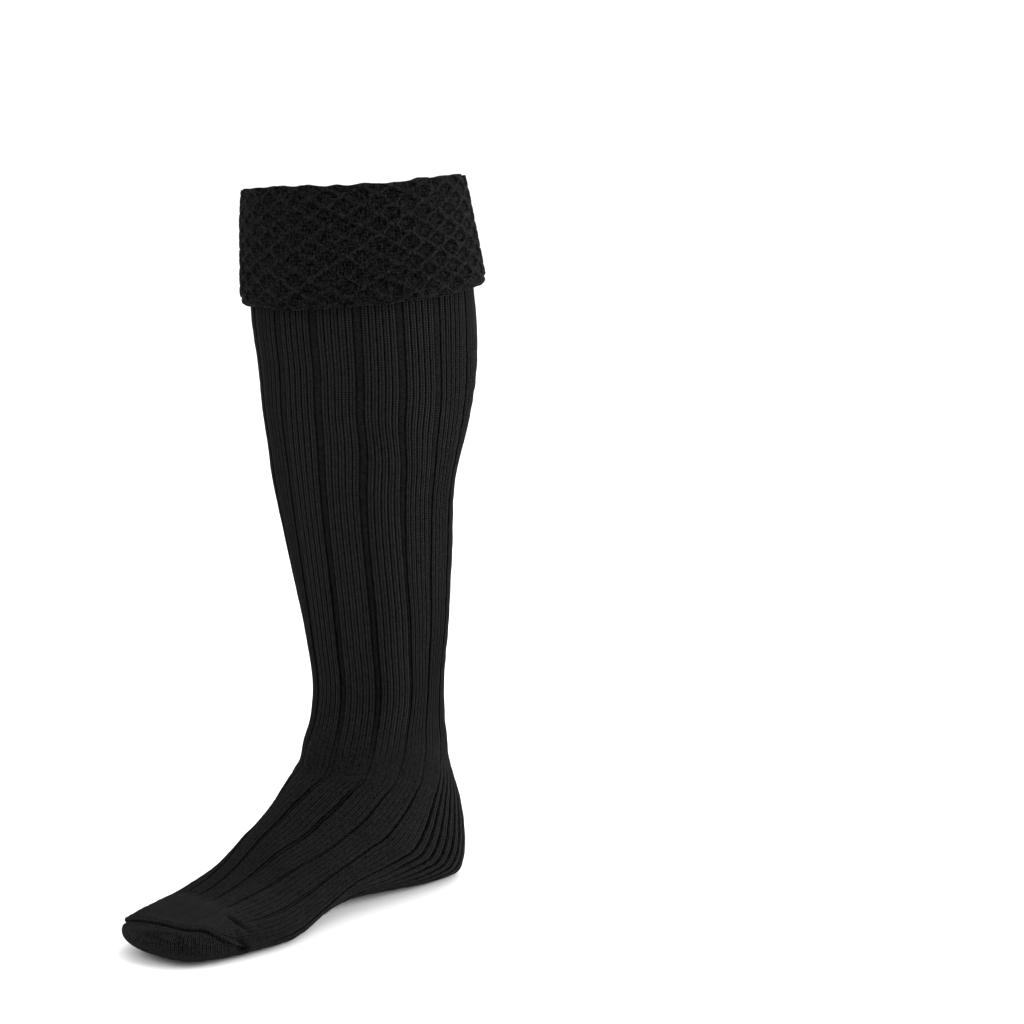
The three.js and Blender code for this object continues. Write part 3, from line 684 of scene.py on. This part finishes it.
# Each dip under the seam: (depth, distance below the seam, reach)
DIPS = ((1.15, 1.6, 2.0), (0.3, 1, 6.0))


def toe_piece(name):
    """The plain toe: a smooth cap whose upper layer laps a little over its pouch along the seam."""
    rows = np.concatenate([np.linspace(RIB_END_ROW, LAST_TOE_ROW, TOE_ROWS),
                           [LAST_TOE_ROW + 0.1, TIP_ROW - 0.02]])
    columns = TOE_COLUMNS
    around = np.broadcast_to(np.arange(columns) / columns, (len(rows), columns)).copy()
    girth = girths(rows)
    base = skin(rows, around)
    offset, place = seam_offsets(base)
    ends = np.clip(place / SEAM_FADE, 0, 1) * np.clip((1 - place) / SEAM_FADE, 0, 1)
    lap = LAP_HEIGHT * np.exp(-(np.maximum(offset, 0) / LAP_REACH) ** 2) * (offset >= 0)
    dip = sum(-depth * bump_at(offset, -below, reach) for depth, below, reach in DIPS)
    out = (lap + dip * (offset < DIP_EDGE)) * ends
    out = out + lie(rows, around, girth) + crease_dent(rows, around * PANELS) + toe_folds(rows, around)
    u, v = wales_at(rows, around), courses_down(rows, around, RIB_END_ROW)
    pouch_u, pouch_v = pouch_coordinates(off_skin(rows, around, out), base[:, :, 1].max())
    lip = np.interp(from_front(around * PANELS), seam_around[::-1] * PANELS, seam_rows[::-1])
    i, j, _ = grid_cells(len(rows), columns, True)
    in_pouch = (rows[:, None] > lip)[i, j][:, None, None]
    pouch_uvs = corner_uvs(pouch_u, pouch_v, True)
    uvs = np.where(in_pouch, pouch_uvs, corner_uvs(u, v, True, TURN_WALES))
    inner_rows = [*range(0, TOE_ROWS, 10), TOE_ROWS - 1]
    inner = inner_face(inner_rows, range(0, columns + 1, 5), u, v, TURN_WALES)
    # The fan's two outer corners lie on the last ring, and its middle one is the tip's point.
    last = np.arange(out.size - columns, out.size)
    fan = np.stack([last, np.full(columns, 2 * out.size), np.roll(last, -1)], -1)
    fan_uvs = pouch_uvs[-columns:][:, [1, 2, 2]]
    outer = grid_quads(len(rows), columns, True), uvs
    folds = fold_shade(rows, around)
    return two_faced_mesh(name, rows, around, out, outer, inner, (fan, fan_uvs), folds=folds)


toe = toe_piece("toe_knit")


# Seam cord, in millimetres
CORD_SIDES = 15
STITCH_PITCH = 1.9
STITCH_SLANT = 0.8
CORD_TAPER = 5.0
CORD_HALF = 1.15
CORD_HEIGHT = 0.75
STITCH_HEIGHT = 0.4
CORD_LIFT = 0.35
CORD_SINK = 0.6
CORD_FLOOR = 0.05


def seam_piece(name):
    """The linked seam over the toe: a low cord of slanting stitches."""
    angle = np.linspace(0, math.pi, CORD_SIDES)
    wind = seam_walked[:, None] / STITCH_PITCH + angle[None, :] / math.pi * STITCH_SLANT
    ripple = 0.5 + 0.5 * np.cos(2 * math.pi * wind)
    to_end = np.minimum(seam_walked, seam_walked[-1] - seam_walked)
    taper = np.clip(to_end / CORD_TAPER, 0.15, 1)[:, None]
    wide = CORD_HALF * taper * (0.9 + 0.1 * ripple)
    tall = (CORD_HEIGHT + STITCH_HEIGHT * ripple) * taper
    rise = np.sin(angle) * tall + CORD_LIFT * (np.sin(angle) > 0.01) - CORD_SINK
    sunk = toe_folds(seam_line[:, 0], seam_line[:, 1:]) * seam_out
    across = seam_side[:, None, :] * (np.cos(angle) * wide)[..., None]
    points = (seam_points + sunk)[:, None, :] + across + seam_out[:, None, :] * rise[..., None]
    points[..., 2] = np.maximum(points[..., 2], CORD_FLOOR)
    v = np.broadcast_to(seam_walked[:, None] / STITCH_PITCH, wind.shape)
    u = np.broadcast_to(angle[None, :] / math.pi, wind.shape)
    quads = grid_quads(SEAM_STATIONS, CORD_SIDES, False)
    return write_mesh(name, points, quads, corner_uvs(u, v, False).reshape(-1, 2))


seam = seam_piece("toe_seam_cord")


def cuff_ease(share):
    """How far the cuff's inner face stands off the skin, at a share of its depth."""
    known, ease = zip(*CUFF_STAND)
    return np.interp(share, known, ease) * CUFF_WALL


def cord(gap):
    """The round back of a cord, from its gap to the point in shares of a diamond's side."""
    return np.clip(1 - (gap / CORD_HALF_WIDTH) ** 2, 0, 1) ** CORD_ROUNDNESS


def flat_crossings(x):
    """Moves a place sideways so that cords run flat where they cross and steep between."""
    return x - CROSSING_FLATNESS * np.sin(4 * math.pi * x) / (4 * math.pi)


# Trellis heights, in shares of a cord's
UNDER_CORD = 0.55
PUFF = 0.35
TRELLIS_BASE = 0.45


def under(gap):
    """How high a cord stays where it runs under another, from its gap to that one."""
    return 1 - UNDER_CORD * np.clip(1 - (gap / CORD_HALF_WIDTH) ** 2, 0, 1)


def trellis_height(x, y):
    """Cords that slant both ways and cross, over and under in turn, with a low puffed diamond between."""
    a, b = flat_crossings(x) + y, flat_crossings(x) - y
    gap_a, gap_b = np.abs(a - np.round(a)), np.abs(b - np.round(b))
    a_over = np.mod(np.round(a) + np.round(b), 2) < 0.5
    cord_a = cord(gap_a) * np.where(a_over, 1, under(gap_b))
    cord_b = cord(gap_b) * np.where(a_over, under(gap_a), 1)
    puff = PUFF * np.sin(math.pi * np.mod(a, 1)) * np.sin(math.pi * np.mod(b, 1))
    return np.maximum(np.maximum(cord_a, cord_b), puff)


# The cuff's cut: points round its hem, up its outer face, over the fold and down its inner face
HEM_POINTS = 9
FACE_POINTS = 92
FOLD_POINTS = 15
LINING_POINTS = 8
BAND_EDGE = 1.2
BAND_GROOVE = 0.55


def cuff_profile():
    """The cuff's cut: (drop, out, relief, flare) from the hem's inner edge out, up and over the fold."""
    profile = []
    half = CUFF_WALL / 2
    middle = cuff_ease(1) + half
    for angle in np.linspace(-math.pi / 2, math.pi / 2, HEM_POINTS):
        drop = CUFF_DEPTH - half + half * math.cos(angle)
        profile.append((drop, middle + half * math.sin(angle) * 0.95, 0, 1))
    radius = (cuff_ease(0) + CUFF_WALL + WALL) / 2
    for drop in np.linspace(CUFF_DEPTH - half - 0.5, radius, FACE_POINTS):
        share = drop / CUFF_DEPTH
        past_band = CUFF_DEPTH - drop - CUFF_BAND
        relief = np.clip(past_band / BAND_EDGE, 0, 1)
        groove = BAND_GROOVE * math.exp(-((past_band - 0.3) / 0.7) ** 2)
        profile.append((drop, cuff_ease(share) + CUFF_WALL - groove, relief, share ** 2))
    for angle in np.linspace(0, math.pi, FOLD_POINTS)[1:]:
        out = (cuff_ease(0) + CUFF_WALL - WALL) / 2 + radius * math.cos(angle)
        relief = max(0, math.cos(angle / 2)) ** 1.5
        profile.append((radius * (1 - math.sin(angle)), out, relief, 0))
    for drop, depth in ((CUFF_RETURN - 0.8, 1), (CUFF_RETURN, 0.7), (CUFF_RETURN, 0.2)):
        profile.append((drop, -WALL * depth, 0, 0))
    for drop in np.linspace(radius * 1.4, CUFF_DEPTH - half, LINING_POINTS):
        share = drop / CUFF_DEPTH
        profile.append((drop, cuff_ease(share), 0, share ** 2))
    return np.array(profile)


POINTS_PER_DIAMOND = 28
# The trellis strays by a share of a diamond, over waves laid on this girth and stretched depth.
TRELLIS_STRAY = 0.05
STRAY_GIRTH = 400
STRAY_STRETCH = 1.3
# Rims: a scallop to each diamond at the hem, lumps at both edges, in millimetres
SCALLOP = 0.25
SCALLOP_TURN = 0.8
HEM_REACH = 6
HEM_LUMPS = 0.35
RIM_SCALLOP = 0.45
RIM_LUMPS = 0.2
DIAMOND_WIDTH = 18


def cuff_piece(name):
    """The turned-down cuff, in one closed band."""
    profile = cuff_profile()
    drop, stand, share, flare = (profile[:, k:k + 1] for k in range(4))
    columns = DIAMONDS_AROUND * POINTS_PER_DIAMOND
    rows = row_below_mouth(drop[:, 0])
    around = np.broadcast_to(np.arange(columns) / columns, (len(rows), columns))
    girth = girths(rows)
    stray = sideways(around * STRAY_GIRTH, drop * STRAY_STRETCH) * TRELLIS_STRAY
    x = around * DIAMONDS_AROUND
    y = np.broadcast_to((CUFF_DEPTH - drop) / DIAMOND_HEIGHT, x.shape)
    # Past the fold the weave goes on by the length walked over it.
    crest = HEM_POINTS + FACE_POINTS - 1
    walked = lengths(profile[:, :2])[:, None]
    turned = np.arange(len(rows))[:, None] > crest
    y = np.where(turned, y[crest] + (walked - walked[crest]) / DIAMOND_HEIGHT, y)
    relief = (trellis_height(x + stray, y + 0.6 * stray) - TRELLIS_BASE) * CORD_RELIEF * share
    facing = np.maximum(0, np.cos((around - FLARE_PLACE) * 2 * math.pi))
    soft = lie(rows, around, girth) * 0.8
    points = off_skin(rows, around, stand + relief + soft + flare * facing ** 2 * HEM_FLARE)
    scallop = SCALLOP * np.sin(2 * math.pi * x[:1] + SCALLOP_TURN)
    near_hem = np.clip((drop - CUFF_DEPTH + HEM_REACH) / HEM_REACH, 0, 1)
    points[..., 2] += near_hem * scallop + near_hem * HEM_LUMPS * soft_dents(x * DIAMOND_WIDTH, 0 * x)
    rise = np.interp(around, *zip(*RIM_WAVE)) * CUFF_DEPTH
    near_rim = np.clip(1 - drop / CUFF_RETURN, 0, 1)
    lumps = RIM_SCALLOP * np.sin(2 * math.pi * x) + RIM_LUMPS * fine_dents(x * DIAMOND_WIDTH, 0 * x)
    points[..., 2] += near_rim * (rise + lumps)
    # A last row of quads closes the band, from the profile's end to its start.
    last = (len(rows) - 1) * columns
    _, j, following = grid_cells(2, columns, True)
    closing_quads = np.stack([last + j, j, following, last + following], -1)
    closing_uvs = corner_uvs(x[-1:].repeat(2, 0), np.stack([y[-1], y[-1] - 0.1]), True, DIAMONDS_AROUND)
    # This profile runs up the outer face, so its quads are turned to face outward.
    quads = np.concatenate([grid_quads(len(rows), columns, True), closing_quads])[:, ::-1]
    uvs = np.concatenate([corner_uvs(x, y, True, DIAMONDS_AROUND), closing_uvs])[:, ::-1]
    return write_mesh(name, points, quads, uvs.reshape(-1, 2))


cuff = cuff_piece("cuff_knit")


class Graph:
    """Small helpers for the nodes of a material or of the world."""

    def __init__(self, owner, shader="Principled BSDF"):
        owner.use_nodes = True
        self.owner = owner
        self.tree = owner.node_tree
        self.shader = self.tree.nodes[shader]

    def link(self, value, socket):
        if isinstance(value, bpy.types.NodeSocket):
            self.tree.links.new(value, socket)
        else:
            socket.default_value = value

    def finish(self, values):
        """Plain values on the shader's own sockets."""
        for name, value in values.items():
            self.shader.inputs[name].default_value = value

    def node(self, kind, **inputs):
        node = self.tree.nodes.new(kind)
        for name, value in inputs.items():
            self.link(value, node.inputs[name])
        return node

    def math(self, operation, *values, clamp=False):
        node = self.tree.nodes.new("ShaderNodeMath")
        node.operation = operation
        node.use_clamp = clamp
        for value, socket in zip(values, node.inputs):
            self.link(value, socket)
        return node.outputs[0]

    def plus(self, first, second):
        return self.math("ADD", first, second)

    def minus(self, first, second):
        return self.math("SUBTRACT", first, second)

    def times(self, first, second):
        return self.math("MULTIPLY", first, second)

    def scaled(self, value, factor, offset):
        return self.math("MULTIPLY_ADD", value, factor, offset)

    def ramp(self, value, start, stop):
        """A number that goes from 0 at one value to 1 at another."""
        return self.math("DIVIDE", self.minus(value, start), stop - start, clamp=True)

    def wave(self, turns):
        """A cosine wave between 0 and 1."""
        return self.scaled(self.math("COSINE", self.times(turns, 2 * math.pi)), 0.5, 0.5)

    def mix(self, factor, first, second):
        """A number between two others."""
        return self.plus(first, self.times(factor, self.minus(second, first)))

    def darker(self, value, shade, amount):
        """A number lowered by a share of itself where a shade from 0 to 1 is high."""
        return self.times(value, self.scaled(shade, -amount, 1.0))

    def split(self, vector):
        parts = self.tree.nodes.new("ShaderNodeSeparateXYZ")
        self.link(vector, parts.inputs[0])
        return parts.outputs[0], parts.outputs[1], parts.outputs[2]

    def place(self, kind):
        return self.tree.nodes.new("ShaderNodeTexCoord").outputs[kind]

    def mark(self, name):
        """A number that the mesh holds at each of its points."""
        node = self.tree.nodes.new("ShaderNodeAttribute")
        node.attribute_name = name
        return node.outputs["Fac"]

    def uneven(self, scale, detail=2.0, roughness=0.55):
        """Noise about zero."""
        noise = self.node("ShaderNodeTexNoise", Scale=scale, Detail=detail, Roughness=roughness,
                          Vector=self.place("Object"))
        return self.minus(noise.outputs["Fac"], 0.5)

    def colour(self, factor, dark, light):
        node = self.tree.nodes.new("ShaderNodeMix")
        node.data_type = "RGBA"
        for name, value in (("Factor", factor), ("A", (*dark, 1)), ("B", (*light, 1))):
            self.link(value, node.inputs[name])
        self.link(node.outputs["Result"], self.shader.inputs["Base Color"])

    def bump(self, height, distance):
        node = self.node("ShaderNodeBump", Strength=1.0, Distance=distance, Height=height)
        self.link(node.outputs["Normal"], self.shader.inputs["Normal"])


# Wool: the two ends of its colour, from the painted shade of the stitches' hollows to their crests, the tone
# of plain knit between them, and its finish
DARK = 0.0003
LIGHT = 0.0205
PLAIN_TONE = 0.345
WOOL_FINISH = {"Roughness": 0.95, "Specular IOR Level": 0.01, "Sheen Weight": 0.035,
               "Sheen Roughness": 0.3, "Sheen Tint": (0.9, 0.9, 0.9, 1)}
# Noise scales, in waves to a metre
FIBRES = 1500
STITCHES = 620
WEAR = 420
CORD_JITTER = 150
DYE_PATCHES = 28
# One wale: where its legs lie, from its middle, in shares of its width
LEG_SLANT = 1.3
LEG_PLACE = 0.22
LEG_HALF_WIDTH = 0.27
ARCH_BEND = 0.22
KNIT_MEAN = 0.42
PURL_MEAN = 0.45


def stocking_stitch(g, u, v):
    """Height of knit wales: two slanting legs to each, with a bead at every course."""
    from_middle = g.math("ABSOLUTE", g.minus(g.math("FRACT", u), 0.5))
    bead = g.wave(g.plus(v, g.times(from_middle, LEG_SLANT)))
    away = g.math("DIVIDE", g.minus(from_middle, LEG_PLACE), LEG_HALF_WIDTH)
    leg = g.math("SUBTRACT", 1.0, g.times(away, away), clamp=True)
    return g.times(leg, g.scaled(bead, 0.5, 0.5))


def purl_stitch(g, u, v):
    """Height of purl wales: a little arch across at every course."""
    arch = g.math("COSINE", g.times(u, 2 * math.pi))
    phase = g.plus(v, g.times(arch, ARCH_BEND))
    return g.scaled(g.math("COSINE", g.times(phase, 2 * math.pi)), 0.4, PURL_MEAN)


def finish_wool(g, height, distance, shade=1.0, grain=1.0):
    """Colour and bump from a knit height, the colour painted as shade, darker where the knit is low and
    lighter where it is high, with uneven dye, uneven stitches and loose fibres.
    """
    fibre = g.times(g.uneven(FIBRES, 2.0, 0.6), 1.1 * grain)
    stitch = g.times(g.uneven(STITCHES, 2.0, 0.6), 0.9 * grain)
    grains = g.plus(fibre, stitch)
    dye = g.scaled(g.uneven(DYE_PATCHES, 3.0), 0.3, 0.86)
    # Painted shade: the knit height sets the colour, so hollows are dark and crests light, with random grain
    # on top. shade scales a piece's colour, below 1 as painted shade and above 1 as painted light.
    shade_and_grain = g.math("ADD", g.times(height, dye), g.times(grains, 0.8), clamp=True)
    g.colour(shade_and_grain, (DARK * shade,) * 3, (LIGHT * shade,) * 3)
    g.bump(g.plus(height, g.times(grains, 0.3)), distance)
    g.finish(WOOL_FINISH)
    return g.owner


def worn_wales(g, u, v, strength):
    """Stocking stitch about an even tone, showing more or less and unevenly along each wale."""
    knit = g.times(g.minus(stocking_stitch(g, u, v), KNIT_MEAN), strength)
    return g.plus(g.times(knit, g.scaled(g.uneven(WEAR), 2.4, 1.0)), PLAIN_TONE)


def shaded_in_folds(g, height):
    """The same height, lower where the knit is folded in, which paints shade into the folds' colour and
    deepens the bump.
    """
    return g.darker(height, g.mark("folds"), 0.85)


def knit_graph(name):
    """A new material's graph, with the wale and course coordinates that the mesh holds."""
    g = Graph(bpy.data.materials.new(name))
    node = g.node("ShaderNodeUVMap")
    node.uv_map = "knit"
    return g, *g.split(node.outputs[0])[:2]


def rib_material(name, distance):
    """Five two-legged wales to a rib, and a gutter of purl courses, with painted shade over the gutter and a
    darker painted line of shade at each side.
    """
    g, u, v = knit_graph(name)
    in_panel = g.math("FLOORED_MODULO", u, float(WALES_PER_PANEL))
    from_rib = g.math("ABSOLUTE", g.minus(in_panel, WALES_PER_PANEL / 2))
    in_gutter = g.math("GREATER_THAN", from_rib, RIB_WALES / 2)
    lines, wales = g.mark("lines"), g.mark("wales")
    knit = worn_wales(g, u, v, g.scaled(wales, 1.9, -0.05))
    courses = g.times(g.minus(purl_stitch(g, u, v), PURL_MEAN), 0.6)
    # Painted shade: the gutter's tone is lowered where its groove shade is strong.
    purl = g.plus(courses, g.scaled(lines, -0.25, PLAIN_TONE + 0.16))
    height = g.mix(in_gutter, knit, purl)
    # Painted shade: a beaded dark line down each side of the gutter, where the rib's edge shades it.
    from_line = g.math("ABSOLUTE", g.minus(from_rib, RIB_WALES / 2 + 0.1))
    beads = g.scaled(g.wave(v), 0.5, 0.6)
    line = g.math("MULTIPLY", g.times(g.ramp(from_line, 0.4, 0.1), lines), beads, clamp=True)
    return finish_wool(g, shaded_in_folds(g, g.darker(height, line, 1.0)), distance)


def heel_material(name):
    """Close ribs of plain wales with a beaded groove between each two, darkened with painted shade."""
    g, u, v = knit_graph(name)
    beads = g.scaled(g.wave(g.times(v, 0.8)), 0.55, 0.55)
    # Painted shade in each groove; the same darkening also lowers the bump there.
    groove = g.times(g.ramp(g.math("PINGPONG", u, 0.5), 0.27, 0.12), beads)
    line = g.math("MULTIPLY", groove, g.mark("lines"), clamp=True)
    plain = worn_wales(g, g.times(u, 2.0), v, 0.8)
    return finish_wool(g, g.darker(plain, line, 1.0), 0.0005)


def toe_material(name):
    """Plain wales all over."""
    g, u, v = knit_graph(name)
    # The toe's copy of the wool is painted darker (shade 0.82), as shade.
    return finish_wool(g, shaded_in_folds(g, worn_wales(g, u, v, 1.3)), 0.0006, shade=0.82)


def cuff_material(name):
    """Twisted cords that cross, on the same lattice as the mesh, and low purl diamonds between them."""
    g, x, y = knit_graph(name)
    flat = g.scaled(g.math("SINE", g.times(x, 4 * math.pi)), -CROSSING_FLATNESS / (4 * math.pi), x)
    lift = g.plus(y, g.times(g.uneven(CORD_JITTER), 0.5))
    a, b = g.plus(flat, lift), g.minus(flat, lift)
    gap_a, gap_b = g.math("PINGPONG", a, 0.5), g.math("PINGPONG", b, 0.5)
    gap = g.math("MINIMUM", gap_a, gap_b)
    on_cord = g.ramp(gap, CORD_HALF_WIDTH + 0.02, CORD_HALF_WIDTH - 0.09)
    # Plies wind along whichever cord is nearer.
    a_nearer = g.math("LESS_THAN", gap_a, gap_b)
    along = g.mix(a_nearer, a, b)
    across = g.mix(a_nearer, b, a)
    ply = g.wave(g.plus(g.times(along, 3.0), g.times(across, 6.0)))
    strand = g.times(g.ramp(gap, CORD_HALF_WIDTH, 0.02), g.scaled(ply, 0.5, 0.5))
    # Painted shade: the low diamonds are darkened under their upper cords and at their inner corner, where
    # the cords shade them; the bump is lowered there too.
    part_a, part_b = g.math("FRACT", a), g.math("FRACT", b)
    courses = g.times(g.wave(g.times(y, 6.0)), g.wave(g.times(x, 10.0)))
    shade_under_top = g.times(g.ramp(part_a, 0.5, 0.8), g.ramp(part_b, 0.62, 0.3))
    shade_in_inner_corner = g.times(g.ramp(part_a, 0.55, 0.8), g.ramp(part_b, 0.45, 0.75))
    low = g.darker(g.scaled(courses, 0.3, 0.25), g.math("MAXIMUM", shade_under_top, shade_in_inner_corner), 0.5)
    height = g.mix(on_cord, low, g.scaled(strand, 0.3, 0.25))
    # The cuff's copy of the wool is painted darker (shade 0.87), as shade.
    return finish_wool(g, height, 0.0006, shade=0.87, grain=2.2)


def seam_material(name):
    """Two slanting plies to each stitch of the seam's cord."""
    g, u, v = knit_graph(name)
    wind = g.plus(v, g.times(u, STITCH_SLANT))
    # The seam cord's copy of the wool is painted lighter (shade 1.1), as light on its ridge.
    return finish_wool(g, g.wave(g.times(wind, 2.0)), 0.0003, shade=1.1)


PIECES = (
    (leg, "leg", "rib_wool", rib_material("wool_ribs", 0.0007)),
    (foot, "foot", "rib_wool", rib_material("wool_foot_ribs", 0.0006)),
    (heel, "heel", "heel_wool", heel_material("wool_heel")),
    (toe, "toe_cap", "toe_wool", toe_material("wool_toe")),
    (seam, "toe_seam", "seam_yarn", seam_material("wool_seam")),
    (cuff, "turnover_cuff", "cuff_wool", cuff_material("wool_cuff")),
)
for piece, node, slot, material in PIECES:
    piece.data.materials.append(material)
    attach(piece, "root")
    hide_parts(node)

# Camera: the photograph's view, from the inner front of the foot and a little above
AZIMUTH = math.radians(46.0)
PITCH = math.radians(10.64)
DISTANCE = 1.75
CAMERA_HEIGHT = 0.560
FOCAL_PIXELS = 2985.0
FRAME_PIXELS = 1024.0
AXIS_PIXELS = 377.5
SENSOR_WIDTH = 36.0
FAR_CLIP = 100
floor_to_part = Vector(-ORIGIN * MM)
eye = Vector((DISTANCE * math.sin(AZIMUTH), -DISTANCE * math.cos(AZIMUTH), CAMERA_HEIGHT)) + floor_to_part
forward = Vector((-math.sin(AZIMUTH) * math.cos(PITCH), math.cos(AZIMUTH) * math.cos(PITCH),
                  -math.sin(PITCH)))
right = forward.cross(Vector((0, 0, 1))).normalized()
up = right.cross(forward)
# The sock stands left of the frame's middle, so the camera turns to the right of it.
yaw = math.atan2(FRAME_PIXELS / 2 - AXIS_PIXELS, FOCAL_PIXELS)
turned_forward = forward * math.cos(yaw) + right * math.sin(yaw)
turned_right = right * math.cos(yaw) - forward * math.sin(yaw)
camera_data = bpy.data.cameras.new("camera")
camera_data.sensor_width = SENSOR_WIDTH
camera_data.lens = FOCAL_PIXELS / FRAME_PIXELS * SENSOR_WIDTH
camera_data.clip_end = FAR_CLIP
camera = bpy.data.objects.new("camera", camera_data)
basis = Matrix((turned_right, up, -turned_forward)).transposed().to_4x4()
camera.matrix_world = Matrix.Translation(eye) @ basis
bpy.context.scene.collection.objects.link(camera)
bpy.context.scene.camera = camera

# Floor
FLOOR_REACH = 200.0
FLOOR_CORNERS = ((-1, -1), (1, -1), (1, 1), (-1, 1))
FLOOR_FINISH = {"Base Color": (0.92, 0.92, 0.92, 1), "Roughness": 0.9, "Specular IOR Level": 0.1}
floor_mesh = bpy.data.meshes.new("floor")
floor_mesh.from_pydata([(x * FLOOR_REACH, y * FLOOR_REACH, floor_to_part.z) for x, y in FLOOR_CORNERS],
                       [], [(0, 1, 2, 3)])
floor = bpy.data.objects.new("floor", floor_mesh)
bpy.context.scene.collection.objects.link(floor)
floor_paint = Graph(bpy.data.materials.new("floor_paint"))
floor_paint.finish(FLOOR_FINISH)
floor_mesh.materials.append(floor_paint.owner)

# Light: a white studio, brighter overhead and underneath than at the horizon, and four softboxes
SKY_RISE = 1.7
SKY_BASE = 0.42
sky = Graph(bpy.data.worlds.new("studio"), "Background")
slope = sky.split(sky.place("Generated"))[2]
sky.finish({"Color": (1, 1, 1, 1)})
sky.link(sky.scaled(sky.times(slope, slope), SKY_RISE, SKY_BASE), sky.shader.inputs["Strength"])
bpy.context.scene.world = sky.owner

# Each softbox: (place in metres, width and height, watts)
AIM = Vector((0.0, 0.0, -0.2))
SOFTBOXES = {
    "key_left": ((-0.9, -2.2, 1.3), (1.2, 1.6), 27),
    "fill_right": ((2.4, 0.6, 0.9), (1.0, 1.8), 30),
    "back_light": ((-0.8, 2.2, 1.4), (1.6, 1.2), 22),
    "edge_right": ((1.5, 2.1, 0.35), (0.6, 1.4), 60),
}
for name, (place, size, watts) in SOFTBOXES.items():
    light_data = bpy.data.lights.new(name, "AREA")
    light_data.shape = "RECTANGLE"
    light_data.size, light_data.size_y = size
    light_data.energy = watts
    light = bpy.data.objects.new(name, light_data)
    light.location = place
    light.rotation_euler = (AIM - Vector(place)).to_track_quat("-Z", "Y").to_euler()
    bpy.context.scene.collection.objects.link(light)
bpy.context.scene.view_settings.view_transform = "Standard"

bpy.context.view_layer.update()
for made, *_ in PIECES:
    print("PIECE", made.name, sum(len(face.vertices) - 2 for face in made.data.polygons))
